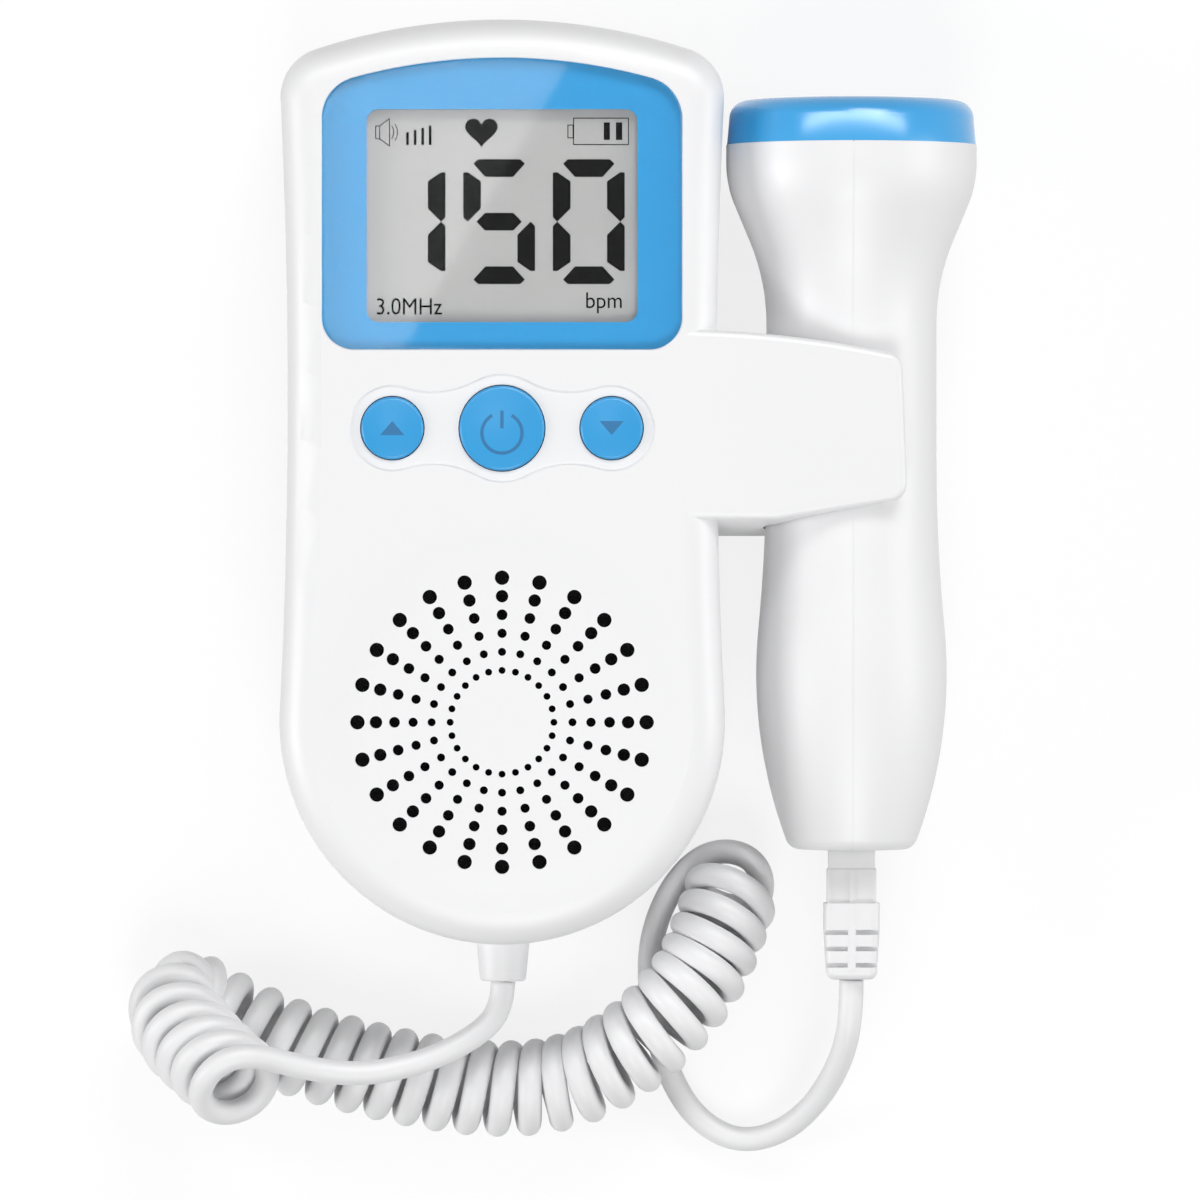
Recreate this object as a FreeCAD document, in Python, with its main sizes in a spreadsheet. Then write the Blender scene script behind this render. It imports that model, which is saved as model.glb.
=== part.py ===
import FreeCAD, Part
import math
import os
import re
import Sketcher

# Pocket fetal doppler with a probe in its side clip and a curly cord.
# Millimetres. The doppler lies on its back: +Z out of its face, +Y towards the screen end,
# +X towards the probe. The origin is on the back face, half-way up the case, on its centre line.

Vector = FreeCAD.Vector
Rotation = FreeCAD.Rotation
doc = FreeCAD.newDocument("FetalDoppler")

# ---------------------------------------------------------------- driving dimensions
sizes = (
    # the case
    ("bodyLength", 135.0, "case, screen end to cord end"),
    ("bodyThick", 35.0, "case, back face to front face"),
    ("bottomRadius", 32.5, "round cord end of the case"),
    ("waistWidth", 62.6, "narrowest width of the case"),
    ("sideRadius", 900.0, "hollow curve of the long sides"),
    ("topRadius", 88.0, "crown of the screen end"),
    ("cornerRadius", 7.4, "corners of the screen end"),
    ("frontRound", 5.0, "rounding of the front edge"),
    ("backRound", 8.0, "rounding of the back edge"),
    ("shellWall", 2.2, "side walls and back wall"),
    ("frontWall", 3.0, "front wall"),
    ("seamHeight", 18.0, "where the two shells meet"),
    ("seamGap", 0.15, "shadow line between the shells"),
    ("touchGap", 0.1, "clearance of pieces that lie against each other"),
    ("looseGap", 0.25, "clearance of pieces that move or drop in"),
    # the clip for the probe
    ("armHigh", 22.2, "upper edge of the clip at the case"),
    ("armLow", 5.4, "lower edge of the clip, below the middle of the case"),
    ("armReach", 59.0, "tip of the clip from the centre line"),
    ("armRoot", 24.0, "where the clip grows out of the front face"),
    ("armLevel", 27.0, "where the front finger starts to fall"),
    ("armBend", 40.0, "where the clip's underside starts to rise"),
    ("armSlope", 9.5, "rise of the underside in degrees"),
    ("armCrown", 160.0, "curve of the clip's upper edge"),
    ("tipLow", 2.6, "lower corner of the tip"),
    ("tipHigh", 2.2, "upper corner of the tip"),
    ("tipLean", 0.7, "how far the tip's upper end is set back"),
    ("armBack", 3.3, "back of the rear finger"),
    ("armSplay", 2.3, "how much lower the clip's underside is at the back"),
    ("armDrop", 2.0, "how far the front finger falls towards its tip"),
    ("armEdge", 0.9, "rounding of the front finger"),
    ("armWall", 2.0, "wall between the clip and the hollow behind it"),
    ("clipGap", 0.5, "room around the probe's neck"),
    # display
    ("lensWidth", 52.4, "window"),
    ("lensBottom", 19.27, "lower edge of the window above the middle"),
    ("lensMargin", 5.8, "case above the window"),
    ("lensTopCorner", 6.1, "upper corners of the window"),
    ("lensLowCorner", 4.65, "lower corners of the window"),
    ("lensThick", 1.5, "window"),
    ("maskThick", 0.2, "printed mask behind the window"),
    ("printGap", 0.02, "film of air between the mask and the window"),
    ("viewWidth", 39.45, "clear field in the mask"),
    ("viewHeight", 31.0, "clear field in the mask"),
    ("viewCentre", 38.75, "middle of the clear field above the middle of the case"),
    ("viewCorner", 1.8, "corners of the clear field"),
    ("glassWidth", 45.0, "display glass"),
    ("glassHeight", 37.0, "display glass"),
    ("glassThick", 1.9, "display glass"),
    ("holderRim", 1.3, "rim of the display holder round the glass"),
    ("holderFloor", 0.6, "floor of the display holder"),
    ("glassShelf", 1.5, "shelf under the display glass"),
    ("shelfBack", 1.0, "case set back behind the clear field"),
    ("lensEdge", 0.3, "rounding of the window's edge"),
    # buttons
    ("buttonLine", 7.8, "buttons above the middle of the case"),
    ("buttonPitch", 15.95, "power button to side button"),
    ("powerRadius", 6.2, "power button"),
    ("sideButtonRadius", 4.56, "side buttons"),
    ("buttonProud", 0.7, "buttons above the face"),
    ("buttonCrown", 0.35, "crown of a button's top"),
    ("buttonRound", 0.5, "rounding of a button's edge"),
    ("buttonFlange", 0.9, "flange that keeps a button in"),
    ("flangeThick", 0.9, "thickness of that flange"),
    ("buttonTravel", 0.6, "travel of a button"),
    ("panelDepth", 0.3, "sunk panel round the buttons"),
    ("panelPower", 7.94, "panel edge round the power button"),
    ("panelSide", 6.3, "panel edge round the side buttons"),
    ("panelBlend", 13.0, "hollow curve between them"),
    ("switchSize", 6.0, "body of a push switch"),
    ("switchHeight", 3.5, "body of a push switch"),
    ("stemDepth", 0.8, "stem inside its switch"),
    ("stemRadius", 1.7, "stem of a push switch"),
    # speaker and grille
    ("grilleRing", 7.55, "first ring of grille holes"),
    ("grilleStep", 2.7, "from ring to ring"),
    ("grilleHole", 0.51, "hole radius in the first ring"),
    ("grilleGrowth", 1.157, "hole size from one ring to the next"),
    ("grilleSpokes", 24.0, "holes in a ring"),
    ("dishRadius", 28.5, "soft hollow round the grille"),
    ("dishDepth", 0.7, "depth of that hollow"),
    ("dishFlat", 19.5, "level floor of that hollow"),
    ("speakerRadius", 22.5, "speaker rim"),
    ("speakerRim", 0.9, "thickness of the rim"),
    ("gasketThick", 0.8, "foam ring above the speaker"),
    ("clothThick", 0.2, "dust cloth behind the grille"),
    ("speakerDepth", 6.5, "basket from the rim to the magnet"),
    ("magnetRadius", 10.0, "magnet"),
    ("magnetHeight", 6.0, "magnet"),
    ("basketLip", 2.4, "flat lip of the speaker basket"),
    ("ribThick", 1.2, "rib round the speaker"),
    ("coneThick", 0.35, "speaker cone"),
    ("coneDepth", 4.4, "rim to the bottom of the cone"),
    ("capDomeRadius", 7.0, "dust cap on the cone"),
    ("capDomeHeight", 1.6, "dust cap on the cone"),
    # board
    ("boardThick", 1.6, "circuit board"),
    ("boardDepth", 5.4, "front wall to circuit board"),
    ("boardWidth", 53.6, "circuit board below the upper screws"),
    ("boardNarrow", 45.0, "circuit board between the upper screws"),
    ("boardStep", 45.0, "where the board narrows, above the middle"),
    ("boardTop", 61.0, "upper edge of the board"),
    ("boardBottom", 10.0, "lower edge of the board, below the middle"),
    ("postRadius", 2.0, "posts that carry the board"),
    ("postUpperX", 24.8, "upper posts from the centre line"),
    ("postUpperY", 15.8, "upper posts above the middle"),
    ("postLowerX", 20.0, "lower posts from the centre line"),
    ("postLowerY", 7.0, "lower posts below the middle"),
    ("boardScrewRadius", 0.9, "thread of a board screw"),
    ("boardScrewHead", 1.8, "head radius of a board screw"),
    ("boardScrewLength", 4.6, "board screw below its head"),
    ("boardHeadThick", 1.2, "head of a board screw"),
    ("layoutGrid", 1.0, "grid that the parts on the boards and the cord inside keep to"),
    ("threadGap", 0.05, "room round a thread"),
    ("crossWide", 0.6, "cross in a screw head"),
    # screws that join the shells
    ("bossRadius", 3.1, "screw bosses"),
    ("bossUpperX", 27.0, "upper bosses from the centre line"),
    ("bossUpperY", 50.0, "upper bosses above the middle"),
    ("bossLowerX", 13.5, "lower bosses from the centre line"),
    ("bossLowerY", 58.4, "lower bosses below the middle"),
    ("screwRadius", 1.2, "thread of a case screw"),
    ("screwHead", 1.9, "head radius of a case screw"),
    ("screwHeadThick", 1.6, "head of a case screw"),
    ("screwLength", 16.0, "case screw below its head"),
    ("screwSink", 7.0, "depth of a case screw's head seat"),
    # batteries, their tray and door
    ("cellRadius", 7.25, "battery"),
    ("cellLength", 49.5, "battery without its nub"),
    ("nubRadius", 2.75, "battery nub"),
    ("nubLength", 1.0, "battery nub"),
    ("cellPitch", 15.2, "one battery to the other"),
    ("trayLow", 5.0, "tray's lower end above the middle"),
    ("trayLength", 56.5, "room for battery, spring and plates"),
    ("trayHeight", 17.2, "inside height of the tray above the back face"),
    ("trayWall", 1.5, "tray walls"),
    ("plateSize", 9.0, "contact plates"),
    ("plateThick", 0.4, "contact plates"),
    ("springWire", 0.35, "wire radius of a battery spring"),
    ("springTurns", 3.0, "turns of a battery spring"),
    ("springWide", 3.6, "wide end of a battery spring"),
    ("springTaper", 16.0, "lean of its sides in degrees"),
    ("doorWidth", 35.0, "door on the outside"),
    ("doorTongue", 1.2, "tongue along each side of the door"),
    ("doorThick", 2.2, "door"),
    ("doorLip", 1.0, "shell below the tongue"),
    ("doorLow", 3.0, "lower edge of the door above the middle"),
    ("ledgeThick", 1.7, "ledge that the door slides on"),
    ("ledgeMargin", 2.0, "ledge beyond the tongue"),
    ("gripWidth", 14.0, "finger ribs on the door"),
    ("gripStart", 5.0, "first groove from the door's edge"),
    ("gripPitch", 2.0, "from rib groove to rib groove"),
    ("gripDepth", 0.5, "depth of the grooves"),
    # headphone jack
    ("jackY", 10.0, "jack above the middle"),
    ("jackBore", 1.8, "jack bore radius"),
    ("jackNose", 3.0, "jack nose radius"),
    ("jackLength", 14.0, "jack, from the case's side to its back"),
    ("jackBoreLength", 12.5, "jack bore"),
    ("jackSize", 6.4, "jack body"),
    # probe
    ("probeX", 51.2, "probe axis from the centre line"),
    ("probeZ", 18.8, "probe axis above the back face"),
    ("headRadius", 18.4, "probe head"),
    ("headTop", 49.6, "probe shells' upper end above the middle"),
    ("shoulderTop", 47.0, "where the head starts to taper"),
    ("shoulderRound", 16.0, "round below the head"),
    ("shoulderSlope", 22.7, "taper of the shoulder in degrees"),
    ("throatRound", 31.5, "hollow curve into the neck"),
    ("neckRadius", 12.5, "probe neck"),
    ("neckEnd", 3.4, "lower end of the neck above the middle"),
    ("bulgeRadius", 14.0, "widest part of the handle"),
    ("bulgeY", 28.0, "widest part of the handle below the middle"),
    ("bulgeRound", 70.0, "curve of the handle"),
    ("tailY", 52.4, "lower rim of the handle below the middle"),
    ("probeBottom", 54.0, "lower end of the handle below the middle"),
    ("tailRound", 2.2, "rounding of the lower rim"),
    ("probeWall", 1.8, "probe walls"),
    ("capStep", 0.1, "cap set in from the head"),
    ("capHeight", 7.0, "cap above the probe shells"),
    ("capRound", 2.6, "rounding of the cap's edge"),
    ("capDraft", 0.35, "how much the cap narrows upwards"),
    ("capCrown", 0.5, "crown of the cap's face"),
    ("capWall", 1.7, "cap wall"),
    ("spigotLength", 4.0, "cap's spigot inside the probe"),
    ("couplingThick", 0.8, "coupling layer behind the cap's face"),
    ("crystalInset", 6.4, "crystals set in from the head"),
    ("crystalThick", 0.7, "crystals"),
    ("crystalSplit", 1.0, "between the two crystals"),
    ("backingHeight", 7.0, "backing block"),
    ("probeBoardWidth", 20.4, "probe's circuit board"),
    ("probeBoardHigh", 16.0, "its upper end above the middle"),
    ("socketWidth", 10.4, "socket in the handle"),
    ("socketDepth", 9.4, "socket, back to front"),
    ("socketLength", 12.5, "socket, along the probe"),
    # plug, boot and cord
    ("plugWidth", 6.8, "plug"),
    ("plugDepth", 5.6, "plug, back to front"),
    ("plugBottom", 61.7, "where the plug enters the boot, below the middle"),
    ("plugTop", 45.5, "tip of the plug below the middle"),
    ("plugNeckLength", 2.7, "narrow part of the plug outside the handle"),
    ("plugStep", 0.2, "step out to the plug's grip"),
    ("gripRim", 0.45, "rim round the sunk fields of the plug's grip"),
    ("gripSpine", 0.7, "spine between those fields, and along the boot"),
    ("gripSink", 0.25, "depth of those fields"),
    ("latchRidge", 1.2, "rib of the latch outside the handle"),
    ("latchWidth", 3.2, "plug latch"),
    ("latchThick", 0.7, "plug latch"),
    ("bladePitch", 1.0, "plug contacts"),
    ("bladeThick", 0.4, "plug contacts"),
    ("bladeLength", 3.0, "plug contacts"),
    ("bladeHeight", 0.4, "plug contacts above the plug"),
    ("bootWidth", 8.2, "boot"),
    ("bootDepth", 7.2, "boot, back to front"),
    ("bootLength", 11.2, "boot"),
    ("bootRound", 1.2, "rounding of the boot"),
    ("bootTaper", 0.45, "narrowing of each side of the boot"),
    ("bootSlot", 0.7, "slots in the boot"),
    ("bootSlotPitch", 2.4, "from slot to slot"),
    ("bootSlotFirst", 3.9, "first slot from the boot's top"),
    ("bootSlotDepth", 1.1, "slots in the boot"),
    ("bootSpine", 1.2, "spine between the slots"),
    ("cordDiameter", 3.6, "cord"),
    ("leadRadius", 0.45, "thin lead wire"),
    ("coilDiameter", 14.3, "curly part of the cord, outside"),
    ("reliefWide", 3.9, "strain relief at the case"),
    ("reliefNarrow", 3.42, "strain relief at its end"),
    ("reliefLength", 5.7, "strain relief outside the case"),
    ("reliefNeck", 3.0, "strain relief in the wall"),
    ("reliefFlange", 4.4, "strain relief's flange inside"),
    ("reliefFlangeThick", 1.6, "strain relief's flange"),
    ("reliefRound", 0.6, "rounding of its end"),
)

sheet = doc.addObject("Spreadsheet::Sheet", "Sizes")
for row, (alias, value, note) in enumerate(sizes, 1):
    sheet.set(f"A{row}", note)
    sheet.set(f"B{row}", str(value))
    sheet.setAlias(f"B{row}", alias)
doc.recompute()
aliasWords = re.compile(r"\b(" + "|".join(alias for alias, value, note in sizes) + r")\b")


# ---------------------------------------------------------------- small tools
def bound(formula):
    # a formula in the sheet's aliases, as the document's expressions name them
    return aliasWords.sub(r"Sizes.\1", str(formula))


def num(formula):
    return float(sheet.evalExpression(bound(formula)))


def point(formulas):
    return Vector(*[num(formula) for formula in formulas])


def bind(item, prop, formula):
    item.setExpression(prop, bound(formula))


def place(item, at, rotation=Rotation()):
    item.Placement = FreeCAD.Placement(point(at), rotation)
    for letter, formula in zip("xyz", at):
        bind(item, f"Placement.Base.{letter}", formula)
    return item


def box(name, x, y, z):
    # x, y and z are pairs: low and high
    item = doc.addObject("Part::Box", name)
    for prop, (low, high) in zip(("Length", "Width", "Height"), (x, y, z)):
        bind(item, prop, f"({high}) - ({low})")
    return place(item, (x[0], y[0], z[0]))


turns = {
    "X": Rotation(Vector(0, 1, 0), 90),
    "Y": Rotation(Vector(1, 0, 0), -90),
    "Z": Rotation(),
}


def spot(along, at, start):
    # three coordinates from the two beside an axis and the start along it
    if along == "X":
        return (start, at[0], at[1])
    if along == "Y":
        return (at[0], start, at[1])
    return (at[0], at[1], start)


def rod(name, radius, at, low, high, along="Z"):
    item = doc.addObject("Part::Cylinder", name)
    bind(item, "Radius", radius)
    bind(item, "Height", f"({high}) - ({low})")
    return place(item, spot(along, at, low), turns[along])


def fuse(name, *parts):
    item = doc.addObject("Part::MultiFuse", name)
    item.Shapes = list(parts)
    item.Refine = True
    return item


def common(name, *parts):
    item = doc.addObject("Part::MultiCommon", name)
    item.Shapes = list(parts)
    return item


def group(name, *parts):
    item = doc.addObject("Part::Compound", name)
    item.Links = list(parts)
    return item


def cut(name, base, *tools):
    item = doc.addObject("Part::Cut", name)
    item.Base = base
    item.Tool = tools[0] if len(tools) == 1 else group(name + "Tools", *tools)
    item.Refine = True
    return item


planes = {
    "XY": Rotation(),
    "XZ": Rotation(Vector(1, 0, 0), 90),
    "YZ": Rotation(Vector(1, 1, 1), 120),
}
nowhere = ("0", "0", "0")


def outline(name, corners, plane="XY", at=nowhere):
    # A closed profile. A corner is (x, y), with a straight side to the next one, or
    # (x, y, bend, radius) with an arc that bends left or right on the way there.
    sketch = doc.addObject("Sketcher::SketchObject", name)
    place(sketch, at, planes[plane])
    spots = [Vector(num(corner[0]), num(corner[1]), 0) for corner in corners]
    ends = []
    for number, corner in enumerate(corners):
        here = spots[number]
        there = spots[(number + 1) % len(spots)]
        if len(corner) == 2:
            sketch.addGeometry(Part.LineSegment(here, there), False)
            ends.append((1, 2))
            continue
        radius = num(corner[3])
        half = (there - here) * 0.5
        side = Vector(-half.y, half.x, 0).normalize()
        if corner[2] == "right":
            side = side * -1
        centre = here + half + side * math.sqrt(radius ** 2 - half.Length ** 2)
        first, last = (here, there) if corner[2] == "left" else (there, here)
        circle = Part.Circle(centre, Vector(0, 0, 1), radius)
        start = math.atan2(first.y - centre.y, first.x - centre.x)
        stop = math.atan2(last.y - centre.y, last.x - centre.x)
        sketch.addGeometry(Part.ArcOfCircle(circle, start, stop), False)
        ends.append((1, 2) if corner[2] == "left" else (2, 1))
    for number, corner in enumerate(corners):
        after = (number + 1) % len(corners)
        joint = Sketcher.Constraint("Coincident", number, ends[number][1], after, ends[after][0])
        sketch.addConstraint(joint)
        wanted = [("DistanceX", corner[0]), ("DistanceY", corner[1])]
        for kind, formula in wanted:
            rule = Sketcher.Constraint(kind, number, ends[number][0], num(formula))
            bind(sketch, f"Constraints[{sketch.addConstraint(rule)}]", formula)
        if len(corner) == 4:
            rule = Sketcher.Constraint("Radius", number, num(corner[3]))
            bind(sketch, f"Constraints[{sketch.addConstraint(rule)}]", corner[3])
    return sketch


def extrude(name, sketch, length, along="Z", back="0"):
    item = doc.addObject("Part::Extrusion", name)
    item.Base = sketch
    item.DirMode = "Custom"
    item.Dir = {"X": Vector(1, 0, 0), "Y": Vector(0, 1, 0), "Z": Vector(0, 0, 1)}[along]
    item.Solid = True
    bind(item, "LengthFwd", length)
    bind(item, "LengthRev", back)
    return item


def spin(name, sketch, centre, axis=Vector(0, 0, 1)):
    item = doc.addObject("Part::Revolution", name)
    item.Source = sketch
    item.Axis = axis
    item.Base = point(centre)
    for letter, formula in zip("xyz", centre):
        bind(item, f"Base.{letter}", formula)
    item.Angle = 360
    item.Solid = True
    return item


def plate(name, x, y, z, corner):
    # a flat piece with rounded corners; x, y and z are pairs: low and high
    (left, right), (low, high) = x, y
    sketch = outline(name + "Edge", (
        (f"({left}) + ({corner})", low),
        (f"({right}) - ({corner})", low, "left", corner),
        (right, f"({low}) + ({corner})"),
        (right, f"({high}) - ({corner})", "left", corner),
        (f"({right}) - ({corner})", high),
        (f"({left}) + ({corner})", high, "left", corner),
        (left, f"({high}) - ({corner})"),
        (left, f"({low}) + ({corner})", "left", corner),
    ), at=("0", "0", z[0]))
    return extrude(name, sketch, f"({z[1]}) - ({z[0]})")


def soften(name, base, *choices):
    # rounds the edges that each (radius, test) picks out of the base
    doc.recompute()
    item = doc.addObject("Part::Fillet", name)
    item.Base = base
    edges = []
    for radius, test in choices:
        for number, edge in enumerate(base.Shape.Edges, 1):
            if test(edge.BoundBox):
                edges.append((number, num(radius), num(radius)))
    item.Edges = edges
    return item


def level(height):
    # a test for edges that lie at one height
    wanted = num(height)
    return lambda bounds: max(abs(bounds.ZMin - wanted), abs(bounds.ZMax - wanted)) < 0.01


nodes = []


def piece(node, item):
    item.Label = node
    nodes.append(item)
    return item


# ---------------------------------------------------------------- outline of the case
bottomY = "(bottomRadius - bodyLength / 2)"
topCentre = "(bodyLength / 2 - topRadius)"


def caseOutline(name, inset, height):
    # A crown, two corners, two hollow sides and a round end, each tangent to the next.
    # The inset moves every arc inwards and leaves its centre.
    sketch = doc.addObject("Sketcher::SketchObject", name)
    place(sketch, ("0", "0", height))
    sideX = num("waistWidth / 2 + sideRadius")
    reach = num("sideRadius + bottomRadius")
    side = Vector(sideX, num(bottomY) + math.sqrt(reach ** 2 - sideX ** 2), 0)
    crown = Vector(0, num(topCentre), 0)
    # the corner's centre keeps its distance from the crown's and the side's
    near = num("topRadius - cornerRadius")
    far = num("sideRadius + cornerRadius")
    apart = (side - crown).Length
    along = (near ** 2 - far ** 2 + apart ** 2) / (2 * apart)
    aim = (side - crown) * (1 / apart)
    across = Vector(-aim.y, aim.x, 0) * math.sqrt(near ** 2 - along ** 2)
    corner = crown + aim * along + across
    flip = lambda spot: Vector(-spot.x, spot.y, 0)
    end = Vector(0, num(bottomY), 0)
    # centre and radius of each arc, hollow ones negative, counterclockwise from the round end
    arcs = (
        (end, num("bottomRadius")), (side, -num("sideRadius")),
        (corner, num("cornerRadius")), (crown, num("topRadius")),
        (flip(corner), num("cornerRadius")), (flip(side), -num("sideRadius")),
    )
    meets = []
    for number, (centre, radius) in enumerate(arcs):
        other, otherRadius = arcs[(number + 1) % len(arcs)]
        way = (other - centre) * (1 / (radius - otherRadius))
        # a signed inset shrinks the bulging arcs and widens the hollow ones
        meets.append(centre + way * (radius - num(inset)))
    ends = []
    for number, (centre, radius) in enumerate(arcs):
        first, last = meets[number - 1], meets[number]
        if radius < 0:
            first, last = last, first
        circle = Part.Circle(centre, Vector(0, 0, 1), abs(radius - num(inset)))
        start = math.atan2(first.y - centre.y, first.x - centre.x)
        stop = math.atan2(last.y - centre.y, last.x - centre.x)
        sketch.addGeometry(Part.ArcOfCircle(circle, start, stop), False)
        ends.append((1, 2) if radius > 0 else (2, 1))
    for number in range(len(arcs)):
        after = (number + 1) % len(arcs)
        joint = ("Tangent", number, ends[number][1], after, ends[after][0])
        sketch.addConstraint(Sketcher.Constraint(*joint))
    round0, hollow1, corner2, crown3, corner4, hollow5 = range(len(arcs))
    # point 3 of an arc is its centre, and line -2 is the sketch's upright axis
    for number in (round0, crown3):
        sketch.addConstraint(Sketcher.Constraint("PointOnObject", number, 3, -2))
    sketch.addConstraint(Sketcher.Constraint("Equal", corner2, corner4))
    sketch.addConstraint(Sketcher.Constraint("Equal", hollow1, hollow5))
    rules = (
        (("DistanceY", round0, 3), bottomY),
        (("DistanceY", crown3, 3), topCentre),
        (("DistanceX", hollow1, 3), "waistWidth / 2 + sideRadius"),
        (("DistanceX", hollow5, 3), "-(waistWidth / 2 + sideRadius)"),
        (("Radius", round0), f"bottomRadius - ({inset})"),
        (("Radius", hollow1), f"sideRadius + ({inset})"),
        (("Radius", corner2), f"cornerRadius - ({inset})"),
        (("Radius", crown3), f"topRadius - ({inset})"),
    )
    for terms, formula in rules:
        index = sketch.addConstraint(Sketcher.Constraint(*terms, num(formula)))
        bind(sketch, f"Constraints[{index}]", formula)
    return sketch


# ---------------------------------------------------------------- the hollow case, both halves
backWall = "shellWall"
frontInside = "(bodyThick - frontWall)"
caseBlock = soften(
    "caseBlock", extrude("casePrism", caseOutline("caseEdge", "0", "0"), "bodyThick"),
    ("frontRound", level("bodyThick")), ("backRound", level("0")))
cavity = soften(
    "cavity",
    extrude("cavityPrism", caseOutline("cavityEdge", "shellWall", backWall),
            f"{frontInside} - {backWall}"),
    ("frontRound - shellWall", level(frontInside)), ("backRound - shellWall", level(backWall)))


def armOutline(name, height, splay):
    # the clip seen from the front; its underside is lower at the back
    low = f"(-armLow - ({splay}))"
    rise = "(armReach - tipLow - armBend)"
    lowY = f"({low} + {rise} * tan(armSlope) + tipLow / cos(armSlope))"
    tip = "(armReach - tipLean)"
    highY = ("(armHigh - armCrown + sqrt((armCrown - tipHigh) ^ 2"
             f" - ({tip} - tipHigh - armRoot) ^ 2))")
    share = "armCrown / (armCrown - tipHigh)"
    return outline(name, (
        ("armRoot", low),
        ("armBend", low),
        ("armReach - tipLow + tipLow * sin(armSlope)", f"{lowY} - tipLow * cos(armSlope)",
         "left", "tipLow"),
        ("armReach", lowY),
        (tip, highY, "left", "tipHigh"),
        (f"armRoot + ({tip} - tipHigh - armRoot) * {share}",
         f"armHigh - armCrown + ({highY} - armHigh + armCrown) * {share}", "left", "armCrown"),
        ("armRoot", "armHigh"),
    ), at=("0", "0", height))


armLoft = doc.addObject("Part::Loft", "armLoft")
armLoft.Sections = [armOutline("armBackEdge", "armBack", "armSplay"),
                    armOutline("armFrontEdge", "bodyThick", "0")]
armLoft.Solid = True
armLoft.Ruled = True
# seen from the cord end: the front finger falls away from the face towards its tip
fall = "(armReach + 3 - armLevel)"
armSide = extrude("armSide", outline("armSideEdge", (
    ("armRoot - 1", "armBack - 1"),
    ("armReach + 3", "armBack - 1"),
    ("armReach + 3", "bodyThick - armDrop", "left",
     f"({fall} ^ 2 + armDrop ^ 2) / (2 * armDrop)"),
    ("armLevel", "bodyThick"),
    ("armRoot - 1", "bodyThick"),
), plane="XZ", at=("0", "armHigh", "0")), "1", along="Y", back="armHigh + armLow + armSplay + 1")
armBlock = soften(
    "armBlock", common("armRough", armLoft, armSide),
    ("armEdge", lambda bounds: bounds.ZMin > num("bodyThick - armDrop - 0.1")
     and bounds.XMax > num("armLevel + 1")))
casing = fuse("casing", caseBlock, armBlock)
channelRadius = "(neckRadius + clipGap)"
span = ("-armLow - armSplay - 5", "armHigh + 5")
channel = fuse(
    "channel", rod("channelRound", channelRadius, ("probeX", "probeZ"), *span, along="Y"),
    box("channelMouth", ("probeX", "armReach + 5"), span,
        (f"probeZ - {channelRadius}", f"probeZ + {channelRadius}")))
armHollow = cut(
    "armHollow",
    box("armHollowBlock", ("armRoot + 2", "probeX - 7"), ("armWall - armLow", "armHigh - 2 * armWall"),
        ("armBack + armWall", f"{frontInside} + 0.3")),
    rod("channelWall", f"{channelRadius} + armWall", ("probeX", "probeZ"), *span, along="Y"))
hollowCase = cut("hollowCase", casing, cavity, armHollow, channel)

# ---------------------------------------------------------------- heights shared by the pieces
wide = ("-bodyLength", "bodyLength")
slideGap = "(looseGap - touchGap)"
boardFace = f"({frontInside} - boardDepth)"
boardBack = f"({boardFace} - boardThick)"
glassTop = f"({frontInside} - touchGap)"
glassLow = f"({glassTop} - glassThick)"
switchTop = f"({boardFace} + switchHeight)"
flangeTop = f"({frontInside} - touchGap)"
flangeLow = f"({flangeTop} - flangeThick)"
doorTop = f"(doorThick + {slideGap})"
cellZ = f"({doorTop} + touchGap + cellRadius)"
cellX = "(cellPitch / 2)"
trayHalf = f"({cellX} + cellRadius + looseGap)"
trayEnd = "(trayLow + trayLength)"
jackZ = f"({boardBack} - jackSize / 2)"
jackSkin = "(waistWidth / 2 - shellWall)"
rimTop = f"({frontInside} - clothThick - gasketThick)"
wallHole = "(reliefNeck + touchGap)"
shelf = "(viewWidth / 2 + shelfBack)"
buttons = (
    ("power", "powerRadius", "0"),
    ("up", "sideButtonRadius", "-buttonPitch"),
    ("down", "sideButtonRadius", "buttonPitch"),
)
bossSpots = tuple((f"{side}{x}", y) for side in ("-", "") for x, y in (
    ("bossUpperX", "bossUpperY"), ("bossLowerX", "-bossLowerY")))
postSpots = tuple((f"{side}{x}", y) for side in ("-", "") for x, y in (
    ("postUpperX", "postUpperY"), ("postLowerX", "-postLowerY")))


def atEach(name, spots, radius, low, high):
    # one upright rod at each spot
    return [rod(f"{name}{number}", radius, place, low, high) for number, place in enumerate(spots)]


def lensOutline(name, grow, height):
    # the window: its crown follows the case's crown
    half = f"(lensWidth / 2 + ({grow}))"
    low = f"(lensBottom - ({grow}))"
    lowCorner = f"(lensLowCorner + ({grow}))"
    highCorner = f"(lensTopCorner + ({grow}))"
    crown = f"(topRadius - lensMargin + ({grow}))"
    reach = "(topRadius - lensMargin - lensTopCorner)"
    centreX = "(lensWidth / 2 - lensTopCorner)"
    rise = f"sqrt({reach} ^ 2 - {centreX} ^ 2)"
    meetX = f"({centreX} * {crown} / {reach})"
    meetY = f"({topCentre} + {rise} * {crown} / {reach})"
    return outline(name, (
        (f"-{half} + {lowCorner}", low),
        (f"{half} - {lowCorner}", low, "left", lowCorner),
        (half, f"{low} + {lowCorner}"),
        (half, f"{topCentre} + {rise}", "left", highCorner),
        (meetX, meetY, "left", crown),
        (f"-{meetX}", meetY, "left", highCorner),
        (f"-{half}", f"{topCentre} + {rise}"),
        (f"-{half}", f"{low} + {lowCorner}", "left", lowCorner),
    ), at=("0", "0", height))


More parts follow.
